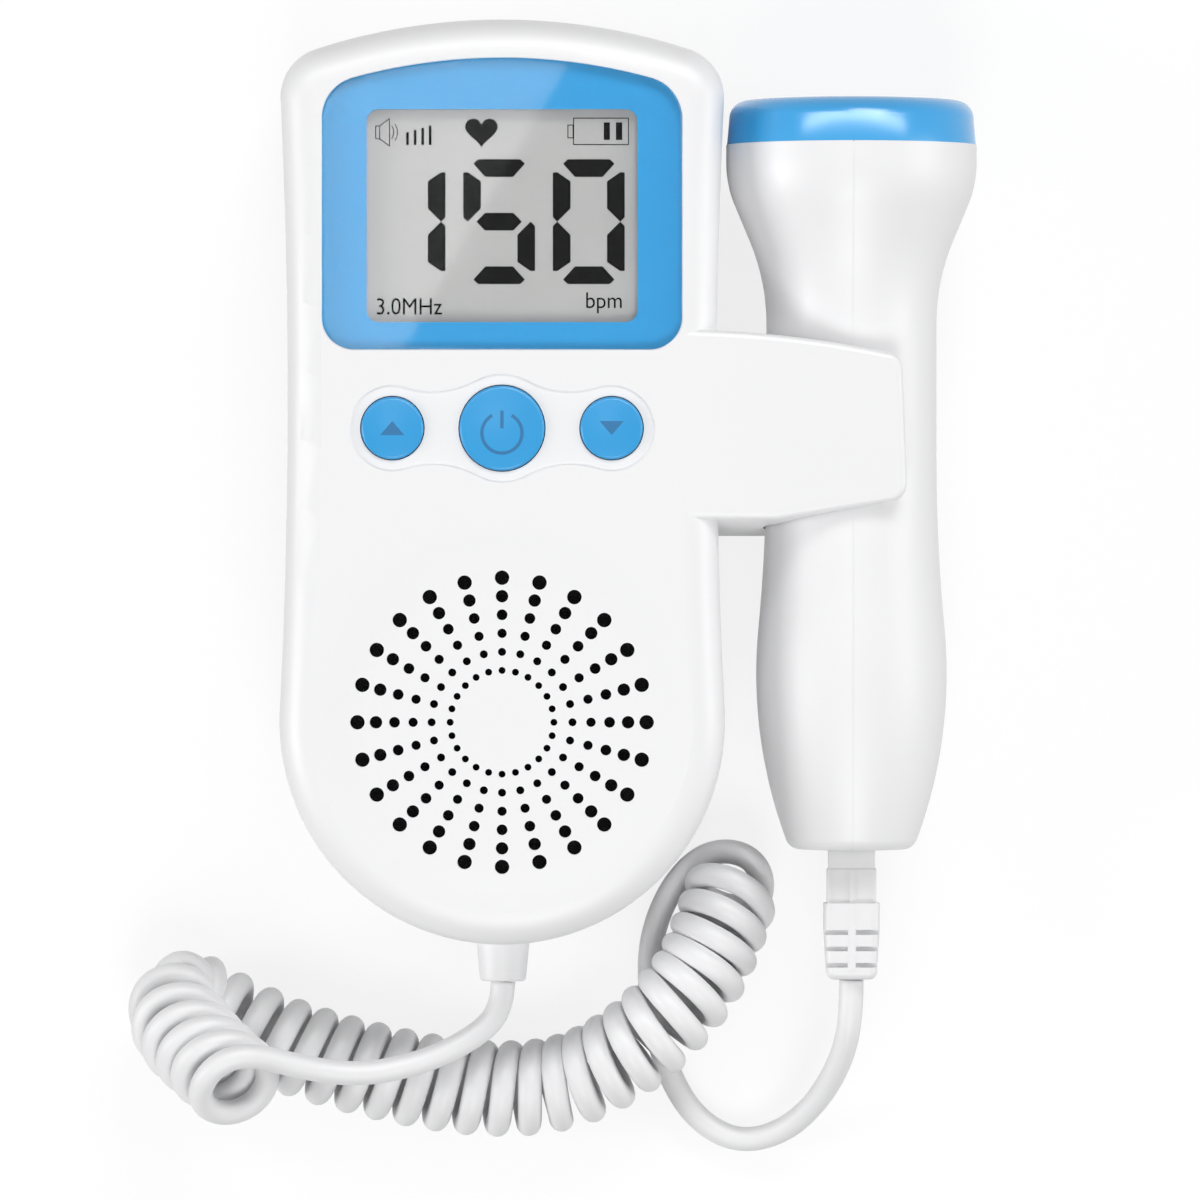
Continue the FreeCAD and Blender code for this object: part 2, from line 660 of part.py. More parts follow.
def panelOutline(name, height):
    # a round end about each side button, a swell about the power button, hollows between
    swell = "(panelPower + panelBlend)"
    end = "(panelSide + panelBlend)"
    hollowX = f"(({swell} ^ 2 - {end} ^ 2 + buttonPitch ^ 2) / (2 * buttonPitch))"
    hollowY = f"sqrt({swell} ^ 2 - {hollowX} ^ 2)"
    swellX = f"{hollowX} * panelPower / {swell}"
    swellY = f"{hollowY} * panelPower / {swell}"
    endX = f"(buttonPitch + ({hollowX} - buttonPitch) * panelSide / {end})"
    endY = f"{hollowY} * panelSide / {end}"
    return outline(name, (
        (f"-{swellX}", f"-{swellY}", "left", "panelPower"),
        (swellX, f"-{swellY}", "right", "panelBlend"),
        (endX, f"-{endY}", "left", "panelSide"),
        ("buttonPitch + panelSide", "0", "left", "panelSide"),
        (endX, endY, "right", "panelBlend"),
        (swellX, swellY, "left", "panelPower"),
        (f"-{swellX}", swellY, "right", "panelBlend"),
        (f"-{endX}", endY, "left", "panelSide"),
        ("-buttonPitch - panelSide", "0", "left", "panelSide"),
        (f"-{endX}", f"-{endY}", "right", "panelBlend"),
    ), at=("0", "buttonLine", height))


# ---------------------------------------------------------------- front shell
frontHalf = common(
    "frontHalf", hollowCase, box("frontSide", wide, wide, ("seamHeight", "bodyThick + 1")))
speakerWall = cut(
    "speakerWall",
    rod("speakerWallOut", "speakerRadius + touchGap + ribThick", ("0", bottomY),
        f"{rimTop} - speakerRim - 0.4", f"{frontInside} + 0.3"),
    rod("speakerWallIn", "speakerRadius + touchGap", ("0", bottomY),
        f"{rimTop} - speakerRim - 1", f"{frontInside} + 1"))
bossPillars = atEach("frontBoss", bossSpots, "bossRadius", "seamHeight", f"{frontInside} + 0.5")
posts = atEach("post", postSpots, "postRadius", boardFace, f"{frontInside} + 0.5")
frontSolid = fuse("frontSolid", frontHalf, speakerWall, *bossPillars, *posts)
lensSeat = extrude(
    "lensSeat", lensOutline("lensSeatEdge", "touchGap", "bodyThick - lensThick - maskThick"),
    "lensThick + maskThick + 1")
viewHole = plate(
    "viewHole", (f"-{shelf}", shelf),
    ("viewCentre - viewHeight / 2 - shelfBack", "viewCentre + viewHeight / 2 + shelfBack"),
    (f"{frontInside} - 1", "bodyThick"), "viewCorner + shelfBack")
panelSeat = extrude(
    "panelSeat", panelOutline("panelEdge", "bodyThick - panelDepth"), "panelDepth + 1")
buttonHoles = [
    rod(f"{name}Hole", f"{radius} + {slideGap}", (x, "buttonLine"),
        f"{frontInside} - 1", "bodyThick + 1")
    for name, radius, x in buttons]
dishHalf = "(dishRadius - dishFlat) / 2"
dishBend = f"(({dishHalf}) ^ 2 + (dishDepth / 2) ^ 2) / dishDepth"
dish = spin("dish", outline("dishEdge", (
    ("0", "bodyThick - dishDepth"),
    ("dishFlat", "bodyThick - dishDepth", "left", dishBend),
    (f"dishFlat + {dishHalf}", "bodyThick - dishDepth / 2", "right", dishBend),
    ("dishRadius", "bodyThick"),
    ("dishRadius", "bodyThick + 1"),
    ("0", "bodyThick + 1"),
), plane="XZ", at=("0", bottomY, "0")), ("0", bottomY, "0"))
reliefHole = rod("reliefHole", wallHole, ("0", "seamHeight"), "-bodyLength / 2 - 1",
                 "shellWall + 2 - bodyLength / 2", along="Y")
jackHole = rod("jackHole", "jackNose + touchGap", ("jackY", jackZ), f"-{jackSkin} - shellWall - 2",
               f"-{jackSkin} + 2", along="X")
frontPlain = cut(
    "frontPlain", frontSolid, lensSeat, viewHole, panelSeat, dish, reliefHole, jackHole,
    *buttonHoles,
    *atEach("bossPilot", bossSpots, "screwRadius + threadGap", "seamHeight - 1",
            "screwSink + screwLength + 1"),
    *atEach("postPilot", postSpots, "boardScrewRadius + threadGap", f"{boardFace} - 1",
            f"{boardBack} + boardScrewLength + 0.4"))

# the grille: one spoke of holes, repeated round the speaker
doc.recompute()
frontShell = doc.addObject("PartDesign::Body", "frontShell")
frontShell.BaseFeature = frontPlain
spoke = frontShell.newObject("Sketcher::SketchObject", "grilleSpoke")
ground = [item for item in frontShell.Origin.OriginFeatures if item.Role == "XY_Plane"][0]
spoke.AttachmentSupport = [(ground, "")]
spoke.MapMode = "FlatFace"
spoke.AttachmentOffset = FreeCAD.Placement(point(("0", bottomY, "bodyThick")), Rotation())
bind(spoke, "AttachmentOffset.Base.y", bottomY)
bind(spoke, "AttachmentOffset.Base.z", "bodyThick")
for ring in range(6):
    reach = f"grilleRing + {ring} * grilleStep"
    radius = f"grilleHole * grilleGrowth ^ {ring}"
    spoke.addGeometry(Part.Circle(Vector(0, num(reach), 0), Vector(0, 0, 1), num(radius)), False)
    for terms, formula in (
            (("DistanceX", ring, 3), "0"), (("DistanceY", ring, 3), reach),
            (("Radius", ring), radius)):
        rule = spoke.addConstraint(Sketcher.Constraint(*terms, num(formula)))
        bind(spoke, f"Constraints[{rule}]", formula)
holes = frontShell.newObject("PartDesign::Pocket", "grilleHoles")
holes.Profile = spoke
holes.Type = "Length"
bind(holes, "Length", "frontWall + 0.2")
doc.recompute()
grille = frontShell.newObject("PartDesign::PolarPattern", "grille")
grille.Originals = [holes]
grille.Axis = (spoke, ["N_Axis"])
grille.Angle = 360
bind(grille, "Occurrences", "grilleSpokes")
frontShell.Tip = grille
piece("front_shell", frontShell)

# ---------------------------------------------------------------- rear shell and battery door
rearHalf = common(
    "rearHalf", hollowCase, box("rearSide", wide, wide, ("-1", "seamHeight - seamGap")))
trayOuter = box(
    "trayOuter", (f"-{trayHalf} - trayWall", f"{trayHalf} + trayWall"),
    ("trayLow - trayWall", f"{trayEnd} + trayWall"), (backWall, "trayHeight + trayWall"))
doorHalf = "(doorWidth / 2)"
tongueHalf = "(doorWidth / 2 + doorTongue)"
ledgeHalf = f"({tongueHalf} + ledgeMargin)"
ledge = common(
    "ledge", caseBlock,
    box("ledgeBlock", (f"-{ledgeHalf}", ledgeHalf), ("doorLow - ledgeMargin", "bodyLength / 2"),
        (backWall, f"{doorTop} + ledgeThick")))
rearPillars = atEach("rearBoss", bossSpots, "bossRadius", f"{backWall} - 0.5",
                     "seamHeight - seamGap")
rearSolid = fuse("rearSolid", rearHalf, trayOuter, ledge, *rearPillars)
trayRoom = box("trayRoom", (f"-{trayHalf}", trayHalf), ("trayLow", trayEnd), ("-1", "trayHeight"))
doorRun = (f"doorLow - {slideGap}", "bodyLength / 2 + 1")
doorSeat = box("doorSeat", (f"-{doorHalf} - {slideGap}", f"{doorHalf} + {slideGap}"), doorRun,
               ("-1", doorTop))
doorGroove = box("doorGroove", (f"-{tongueHalf} - {slideGap}", f"{tongueHalf} + {slideGap}"),
                 doorRun, (f"doorLip - {slideGap}", doorTop))
rearShell = cut(
    "rearShell", rearSolid, trayRoom, doorSeat, doorGroove, reliefHole,
    *atEach("headSeat", bossSpots, f"screwHead + {slideGap}", "-1", "screwSink"),
    *atEach("screwPass", bossSpots, "screwRadius + touchGap", "0", "seamHeight + 1"))
piece("rear_shell", rearShell)

doorBlock = common("doorBlock", caseBlock, fuse(
    "doorShape",
    box("doorFace", (f"-{doorHalf}", doorHalf), ("doorLow", "bodyLength / 2"), ("0", "doorThick")),
    box("doorTongues", (f"-{tongueHalf}", tongueHalf), ("doorLow", "bodyLength / 2"),
        ("doorLip", "doorThick"))))
gripCount = 6
gripGrooves = [
    box(f"gripGroove{number}", ("-gripWidth / 2", "gripWidth / 2"),
        (f"doorLow + gripStart + {number} * gripPitch",
         f"doorLow + gripStart + ({number} + 0.45) * gripPitch"), ("-1", "gripDepth"))
    for number in range(gripCount)]
piece("battery_door", cut("batteryDoor", doorBlock, *gripGrooves))


# ---------------------------------------------------------------- batteries and their contacts
def cell(name, x, low, high, nubLow, nubHigh):
    return fuse(name, rod(name + "Can", "cellRadius", (x, cellZ), low, high, along="Y"),
                rod(name + "Nub", "nubRadius", (x, cellZ), nubLow, nubHigh, along="Y"))


plateInner = ("(trayLow + plateThick)", f"({trayEnd} - plateThick)")
leftCan = (f"({plateInner[1]} - nubLength - cellLength)", f"({plateInner[1]} - nubLength)")
rightCan = (f"({plateInner[0]} + nubLength)", f"({plateInner[0]} + nubLength + cellLength)")
piece("battery_left", cell("batteryLeft", f"-{cellX}", *leftCan, leftCan[1], plateInner[1]))
piece("battery_right", cell("batteryRight", cellX, *rightCan, plateInner[0], rightCan[0]))
contactPlates = [
    box(f"contactPlate{number}", (f"{x} - plateSize / 2", f"{x} + plateSize / 2"), y,
        (f"{cellZ} - plateSize / 2", f"{cellZ} + plateSize / 2"))
    for number, (x, y) in enumerate(
        (x, y) for x in (f"-{cellX}", cellX)
        for y in (("trayLow", plateInner[0]), (plateInner[1], trayEnd)))]
piece("battery_plates", group("batteryPlates", *contactPlates))


def spring(name, x, start, length, facing):
    # a cone of wire from its plate to the battery's flat end
    line = doc.addObject("Part::Helix", name + "Line")
    bind(line, "Pitch", f"({length} - 2 * springWire - 2 * touchGap) / springTurns")
    bind(line, "Height", f"{length} - 2 * springWire - 2 * touchGap")
    bind(line, "Radius", "springWide")
    bind(line, "Angle", "-springTaper")
    line.Placement = FreeCAD.Placement(Vector(0, 0, 0), Rotation())
    wire = doc.addObject("Part::Circle", name + "Wire")
    bind(wire, "Radius", "springWire")
    wire.Placement = FreeCAD.Placement(Vector(num("springWide"), 0, 0),
                                       Rotation(Vector(1, 0, 0), 90))
    bind(wire, "Placement.Base.x", "springWide")
    item = doc.addObject("Part::Sweep", name)
    item.Sections = [wire]
    item.Spine = (line, ["Edge1"])
    item.Solid = True
    item.Frenet = True
    return place(item, (x, f"{start} + ({facing}) * (springWire + touchGap)", cellZ),
                 Rotation(Vector(1, 0, 0), -90 * facing))


springLength = f"({leftCan[0]} - {plateInner[0]})"
piece("battery_springs", group(
    "batterySprings",
    spring("springLeft", f"-{cellX}", plateInner[0], springLength, 1),
    spring("springRight", cellX, plateInner[1], springLength, -1)))


# ---------------------------------------------------------------- screws
def screw(name, spot, headFrom, headRadius, headThick, threadRadius, length):
    # head down, thread up, with a cross in the head
    x, y = spot
    slotHalf = "crossWide / 2"
    seat = f"({headFrom} + {headThick})"
    body = fuse(name + "Body", rod(name + "Head", headRadius, spot, headFrom, seat),
                rod(name + "Thread", threadRadius, spot, seat, f"{seat} + {length}"))
    deep = (f"{headFrom} - 1", f"{headFrom} + {headThick} / 2")
    across = (f"{headRadius} * 0.7", slotHalf)
    bars = [
        box(f"{name}Bar{number}", (f"{x} - {half}", f"{x} + {half}"),
            (f"{y} - {other}", f"{y} + {other}"), deep)
        for number, (half, other) in enumerate((across, across[::-1]))]
    return cut(name, body, *bars)


piece("housing_screws", group("housingScrews", *[
    screw(f"caseScrew{number}", spot, "(screwSink - screwHeadThick)", "screwHead",
          "screwHeadThick", "screwRadius", "screwLength")
    for number, spot in enumerate(bossSpots)]))
piece("board_screws", group("boardScrews", *[
    screw(f"boardScrew{number}", spot, f"({boardBack} - boardHeadThick)", "boardScrewHead",
          "boardHeadThick", "boardScrewRadius", "boardScrewLength")
    for number, spot in enumerate(postSpots)]))

# ---------------------------------------------------------------- display
piece("display_window", soften(
    "displayWindow",
    extrude("windowPlate", lensOutline("windowEdge", "0", "bodyThick - lensThick"), "lensThick"),
    ("lensEdge", level("bodyThick"))))
maskLow = "(bodyThick - lensThick - maskThick)"
piece("window_mask", cut(
    "windowMask",
    extrude("maskPlate", lensOutline("maskEdge", "-touchGap", maskLow), "maskThick - printGap"),
    plate("maskView", ("-viewWidth / 2", "viewWidth / 2"),
          ("viewCentre - viewHeight / 2", "viewCentre + viewHeight / 2"),
          (f"{maskLow} - 1", f"{maskLow} + 1"), "viewCorner")))
glassHalf = "(glassWidth / 2)"
glassLowY = "(viewCentre - glassHeight / 2)"
glassHighY = "(viewCentre + glassHeight / 2)"
piece("lcd_glass", box("lcdGlass", (f"-{glassHalf}", glassHalf), (glassLowY, glassHighY),
                       (glassLow, glassTop)))
chamberHalf = f"({glassHalf} - glassShelf)"
chamberY = (f"{glassLowY} + 3 * glassShelf", f"{glassHighY} - glassShelf")
stripY = (f"{glassLowY} + glassShelf / 2", f"{glassLowY} + 2 * glassShelf")
holder = cut(
    "lcdHolder",
    box("holderBlock", (f"-{glassHalf} - holderRim", f"{glassHalf} + holderRim"),
        (f"{glassLowY} - holderRim", f"{glassHighY} + holderRim"), (boardFace, glassTop)),
    box("glassPocket", (f"-{glassHalf} - touchGap", f"{glassHalf} + touchGap"),
        (f"{glassLowY} - touchGap", f"{glassHighY} + touchGap"), (glassLow, f"{glassTop} + 1")),
    box("lightPocket", (f"-{chamberHalf}", chamberHalf), chamberY,
        (f"{boardFace} + holderFloor", f"{glassTop} + 1")),
    box("stripSlot", (f"-{chamberHalf}", chamberHalf), stripY,
        (f"{boardFace} - 1", f"{glassTop} + 1")))
piece("lcd_holder", holder)
piece("lcd_backlight", box(
    "lcdBacklight", (f"-{chamberHalf} + touchGap", f"{chamberHalf} - touchGap"),
    (f"{chamberY[0]} + touchGap", f"{chamberY[1]} - touchGap"),
    (f"{boardFace} + holderFloor", f"{glassLow} - touchGap")))
piece("zebra_strip", box(
    "zebraStrip", (f"-{chamberHalf} + touchGap", f"{chamberHalf} - touchGap"),
    (f"{stripY[0]} + touchGap", f"{stripY[1]} - touchGap"), (boardFace, glassLow)))

# ---------------------------------------------------------------- circuit board and what sits on it
boardHalf = "(boardWidth / 2)"
narrowHalf = "(boardNarrow / 2)"
boardBlank = extrude("boardBlank", outline("boardEdge", (
    (f"-{boardHalf}", "-boardBottom"), (boardHalf, "-boardBottom"), (boardHalf, "boardStep"),
    (narrowHalf, "boardStep"), (narrowHalf, "boardTop"), (f"-{narrowHalf}", "boardTop"),
    (f"-{narrowHalf}", "boardStep"), (f"-{boardHalf}", "boardStep"),
), at=("0", "0", boardBack)), "boardThick")
piece("main_board", cut("mainBoard", boardBlank, *atEach(
    "boardHole", postSpots, "boardScrewRadius + touchGap", f"{boardBack} - 1", f"{boardFace} + 1")))
chips = (
    # x, y, width, length and height of each part under the board, in steps of the grid
    ("processor", "2", "32", "10", "10", "1.5"),
    ("amplifier", "-4", "12", "6", "5", "1.6"),
    ("clock", "14", "20", "3.6", "8", "2.6"),
    ("capacitor", "12", "2", "5", "5", "4.2"),
    ("leadSocket", "-6", "-6", "9", "5", "4.5"),
)
piece("board_chips", group("boardChips", *[
    box(name, (f"({x} - {width} / 2) * layoutGrid", f"({x} + {width} / 2) * layoutGrid"),
        (f"({y} - {length} / 2) * layoutGrid", f"({y} + {length} / 2) * layoutGrid"),
        (f"{boardBack} - {height} * layoutGrid", boardBack))
    for name, x, y, width, length, height in chips]))
switchHalf = "(switchSize / 2)"
switchWell = f"({switchTop} - buttonTravel - stemDepth - touchGap)"
piece("tact_switches", group("tactSwitches", *[
    cut(f"{name}Switch",
        box(f"{name}SwitchBody", (f"{x} - {switchHalf}", f"{x} + {switchHalf}"),
            (f"buttonLine - {switchHalf}", f"buttonLine + {switchHalf}"), (boardFace, switchTop)),
        rod(f"{name}SwitchWell", "stemRadius + touchGap", (x, "buttonLine"), switchWell,
            f"{switchTop} + 1"))
    for name, radius, x in buttons]))


# ---------------------------------------------------------------- buttons
def button(name, radius, x):
    # a crowned cap with a flange under the front wall
    top = "(bodyThick + buttonProud)"
    flat = f"({radius} - buttonRound)"
    side = f"({top} - buttonCrown - buttonRound)"
    return spin(name, outline(name + "Edge", (
        ("0", flangeLow),
        (f"{radius} + buttonFlange", flangeLow),
        (f"{radius} + buttonFlange", flangeTop),
        (radius, flangeTop),
        (radius, side, "left", "buttonRound"),
        (flat, f"{top} - buttonCrown", "left",
         f"({flat} ^ 2 + buttonCrown ^ 2) / (2 * buttonCrown)"),
        ("0", top),
    ), plane="XZ", at=(x, "buttonLine", "0")), (x, "buttonLine", "0"))


for name, radius, x in buttons:
    piece(f"{name}_button", button(f"{name}Button", radius, x))
    piece(f"{name}_switch_stem", rod(f"{name}Stem", "stemRadius", (x, "buttonLine"),
                                     f"{switchTop} - stemDepth", flangeLow))

# ---------------------------------------------------------------- speaker
speakerAt = ("0", bottomY)
gasketTop = f"({frontInside} - clothThick)"
coneEdge = "(speakerRadius - basketLip)"
piece("speaker_cloth", rod("speakerCloth", "speakerRadius", speakerAt, gasketTop, frontInside))
piece("speaker_gasket", cut(
    "speakerGasket", rod("gasketOut", "speakerRadius", speakerAt, rimTop, gasketTop),
    rod("gasketIn", coneEdge, speakerAt, f"{rimTop} - 1", f"{gasketTop} + 1")))
basketLow = f"({rimTop} - speakerDepth)"
speakerMiddle = ("0", bottomY, "0")
piece("speaker_frame", spin("speakerFrame", outline("frameEdge", (
    (coneEdge, rimTop),
    (coneEdge, f"{rimTop} - 2 * coneThick"),
    ("magnetRadius + 1", basketLow),
    ("0", basketLow),
    ("0", f"{basketLow} - speakerRim"),
    ("magnetRadius + 1.6", f"{basketLow} - speakerRim"),
    (f"{coneEdge} + speakerRim", f"{rimTop} - speakerRim"),
    ("speakerRadius", f"{rimTop} - speakerRim"),
    ("speakerRadius", rimTop),
), plane="XZ", at=speakerMiddle), speakerMiddle))
domeRound = "((capDomeRadius ^ 2 + capDomeHeight ^ 2) / (2 * capDomeHeight))"
piece("speaker_cone", spin("speakerCone", outline("coneEdge", (
    (f"{coneEdge} - touchGap", rimTop),
    ("capDomeRadius", f"{rimTop} - coneDepth", "left", domeRound),
    ("0", f"{rimTop} - coneDepth + capDomeHeight"),
    ("0", f"{rimTop} - coneDepth + capDomeHeight - coneThick", "right", domeRound),
    ("capDomeRadius", f"{rimTop} - coneDepth - coneThick"),
    (f"{coneEdge} - touchGap - coneThick", f"{rimTop} - coneThick"),
    (f"{coneEdge} - touchGap", f"{rimTop} - coneThick"),
), plane="XZ", at=speakerMiddle), speakerMiddle))
piece("speaker_magnet", rod("speakerMagnet", "magnetRadius", speakerAt,
                            f"{basketLow} - speakerRim - magnetHeight",
                            f"{basketLow} - speakerRim"))

# ---------------------------------------------------------------- headphone jack
jackBody = box("jackBody", (f"-{jackSkin} + touchGap", f"-{jackSkin} - shellWall + jackLength"),
               ("jackY - jackSize / 2", "jackY + jackSize / 2"), (f"{boardBack} - jackSize", boardBack))
jackMouth = f"(-{jackSkin} - shellWall + looseGap)"
piece("headphone_jack", cut(
    "headphoneJack",
    fuse("jackSolid", jackBody, rod("jackNoseRod", "jackNose", ("jackY", jackZ), jackMouth,
                                    f"-{jackSkin} + 1", along="X")),
    rod("jackBoreRod", "jackBore", ("jackY", jackZ), f"{jackMouth} - 1",
        f"{jackMouth} + jackBoreLength", along="X")))

# ---------------------------------------------------------------- strain relief
caseEnd = "(-bodyLength / 2)"
reliefEnd = f"({caseEnd} - reliefLength)"
flangeFace = (f"({bottomY} - sqrt((bottomRadius - shellWall) ^ 2 - reliefFlange ^ 2) + touchGap)")
reliefMiddle = ("0", "0", "seamHeight")
piece("strain_relief", spin("strainRelief", outline("reliefEdge", (
    ("0", f"{flangeFace} + reliefFlangeThick"),
    ("0", reliefEnd),
    ("reliefNarrow - reliefRound", reliefEnd, "left", "reliefRound"),
    ("reliefNarrow", f"{reliefEnd} + reliefRound"),
    ("reliefWide", caseEnd),
    ("reliefNeck", caseEnd),
    ("reliefNeck", flangeFace),
    ("reliefFlange", flangeFace),
    ("reliefFlange", f"{flangeFace} + reliefFlangeThick"),
), at=reliefMiddle), reliefMiddle, Vector(0, 1, 0)))

# ---------------------------------------------------------------- probe shells
probeAt = ("probeX", "0", "probeZ")
along = Vector(0, 1, 0)
swing = "((bulgeRadius - neckRadius) / (neckEnd + bulgeY))"
bulgeSine = f"(2 * {swing} / (1 + {swing} ^ 2))"
bulgeCosine = f"((1 - {swing} ^ 2) / (1 + {swing} ^ 2))"
hollowRound = f"((neckEnd + bulgeY) / {bulgeSine} - bulgeRound)"
slopeRun = (
    "((headRadius - neckRadius - (shoulderRound + throatRound) * (1 - cos(shoulderSlope)))"
    " / sin(shoulderSlope))")
throatTop = f"(shoulderTop - shoulderRound * sin(shoulderSlope) - {slopeRun} * cos(shoulderSlope))"
throatEnd = f"({throatTop} - throatRound * sin(shoulderSlope))"


def probeSide(inset):
    # from the head down to the widest part of the handle, set in by inset
    head = f"headRadius - ({inset})"
    shoulder = f"(shoulderRound - ({inset}))"
    throat = f"(throatRound + ({inset}))"
    neck = f"neckRadius - ({inset})"
    return (
        (head, "headTop"),
        (head, "shoulderTop", "right", shoulder),
        (f"headRadius - shoulderRound + {shoulder} * cos(shoulderSlope)",
         f"shoulderTop - {shoulder} * sin(shoulderSlope)"),
        (f"neckRadius + throatRound - {throat} * cos(shoulderSlope)",
         f"{throatEnd} + {throat} * sin(shoulderSlope)", "left", throat),
        (neck, throatEnd),
        (neck, "neckEnd", "left", f"({hollowRound} + ({inset}))"),
        (f"bulgeRadius - bulgeRound + (bulgeRound - ({inset})) * {bulgeCosine}",
         f"(bulgeRound - ({inset})) * {bulgeSine} - bulgeY", "right",
         f"(bulgeRound - ({inset}))"),
    )


# the handle's end: a small round, then an almost flat dome
tailSine = "((tailY - bulgeY) / bulgeRound)"
tailCosine = f"sqrt(1 - {tailSine} ^ 2)"
tailX = f"(bulgeRadius - bulgeRound + bulgeRound * {tailCosine})"
roundX = f"({tailX} - tailRound * {tailCosine})"
roundY = f"(probeBottom - tailY + tailRound * {tailSine})"
dome = f"(({roundX} ^ 2 + {roundY} ^ 2 - tailRound ^ 2) / (2 * ({roundY} - tailRound)))"
probeFloor = "(probeWall + 0.2 - probeBottom)"
floorDrop = f"(-bulgeY - {probeFloor})"
probeSolid = spin("probeSolid", outline("probeEdge", (
    ("0", "headTop"),
    *probeSide("0"),
    (tailX, "-tailY", "right", "tailRound"),
    (f"{roundX} * {dome} / ({dome} - tailRound)",
     f"({roundY} - {dome}) * {dome} / ({dome} - tailRound) + {dome} - probeBottom",
     "right", dome),
    ("0", "-probeBottom"),
), at=probeAt), probeAt, along)
probeRoom = spin("probeRoom", outline("probeInnerEdge", (
    ("0", "headTop + 1"),
    ("headRadius - probeWall", "headTop + 1"),
    *probeSide("probeWall"),
    (f"bulgeRadius - bulgeRound + sqrt((bulgeRound - probeWall) ^ 2 - {floorDrop} ^ 2)",
     probeFloor),
    ("0", probeFloor),
), at=probeAt), probeAt, along)


def keyhole(name, gap, y, low):
    # the plug's section with the slot for its latch, which faces the back
    return fuse(
        name,
        box(name + "Main", (f"probeX - plugWidth / 2 - {gap}", f"probeX + plugWidth / 2 + {gap}"),
            y, (f"probeZ - plugDepth / 2 - {gap}", f"probeZ + plugDepth / 2 + {gap}")),
        box(name + "Key", (f"probeX - latchWidth / 2 - {gap}", f"probeX + latchWidth / 2 + {gap}"),
            y, (low, "probeZ")))


latchTop = "(probeZ - plugDepth / 2 - touchGap)"
latchLow = f"({latchTop} - latchThick)"
socketBack = f"({probeFloor} + socketLength)"
probeShell = cut("probeShell", probeSolid, probeRoom, keyhole(
    "plugWay", "looseGap", ("-probeBottom - 1", f"{probeFloor} + 1"), f"{latchLow} - looseGap"))
piece("probe_left_shell", common("probeLeft", probeShell, box(
    "leftSide", ("0", "probeX - seamGap"), wide, wide)))
piece("probe_right_shell", common("probeRight", probeShell, box(
    "rightSide", ("probeX", "bodyLength"), wide, wide)))

# ---------------------------------------------------------------- probe head
capRadius = "(headRadius - capStep)"
crystalRadius = "(headRadius - crystalInset)"
capTop = "(headTop + capHeight)"
capSide = f"({capRadius} - capDraft)"
capFlat = f"({capSide} - capRound)"
spigot = "(headRadius - probeWall - 2 * touchGap)"
piece("probe_cap", spin("probeCap", outline("capEdge", (
    ("0", capTop),
    ("0", f"{capTop} - capWall"),
    (f"{spigot} - capWall", f"{capTop} - capWall"),
    (f"{spigot} - capWall", "headTop - spigotLength"),
    (spigot, "headTop - spigotLength"),
    (spigot, "headTop"),
    (capRadius, "headTop"),
    (capSide, f"{capTop} - capCrown - capRound", "left", "capRound"),
    (capFlat, f"{capTop} - capCrown", "left", f"({capFlat} ^ 2 + capCrown ^ 2) / (2 * capCrown)"),
), at=probeAt), probeAt, along))
stackTop = f"({capTop} - capWall)"
crystalTop = f"({stackTop} - couplingThick)"
crystalLow = f"({crystalTop} - crystalThick)"
backingLow = f"({crystalLow} - backingHeight)"


def disc(name, radius, low, high):
    return rod(name, radius, ("probeX", "probeZ"), low, high, along="Y")


piece("coupling_layer", disc("couplingLayer", f"{crystalRadius} + crystalSplit", crystalTop, stackTop))
crystalDisc = disc("crystalDisc", crystalRadius, crystalLow, crystalTop)
piece("piezo_crystals", cut("piezoCrystals", crystalDisc, box(
    "crystalGap", ("probeX - crystalSplit / 2", "probeX + crystalSplit / 2"), wide, wide)))
piece("backing_block", disc("backingBlock", f"{crystalRadius} + crystalSplit / 2", backingLow,
                            crystalLow))
probeBoardTop = "(probeZ - touchGap)"
probeBoardLow = f"({probeBoardTop} - couplingThick - touchGap)"
piece("probe_board", box(
    "probeBoard", ("probeX - probeBoardWidth / 2", "probeX + probeBoardWidth / 2"),
    (socketBack, "probeBoardHigh"), (probeBoardLow, probeBoardTop)))
probeParts = (
    # x from the axis, y, width, length and height of each part on the probe's board, in grid steps
    ("tuningCoil", "-4", "6", "6", "6", "4"),
    ("driver", "2", "-10", "6", "9", "1.6"),
    ("filter", "-5", "-24", "5", "4", "2.2"),
)
piece("probe_board_chips", group("probeBoardChips", *[
    box(name, (f"probeX + ({x} - {width} / 2) * layoutGrid",
               f"probeX + ({x} + {width} / 2) * layoutGrid"),
        (f"({y} - {length} / 2) * layoutGrid", f"({y} + {length} / 2) * layoutGrid"),
        (probeBoardTop, f"{probeBoardTop} + {height} * layoutGrid"))
    for name, x, y, width, length, height in probeParts]))
piece("crystal_leads", group("crystalLeads", *[
    rod(name, "leadRadius", (f"probeX + {side} * {crystalRadius} / 3", f"{probeBoardTop} + leadRadius"),
        "probeBoardHigh - crystalSplit", backingLow, along="Y")
    for name, side in (("leadOne", "-1"), ("leadTwo", "1"))]))

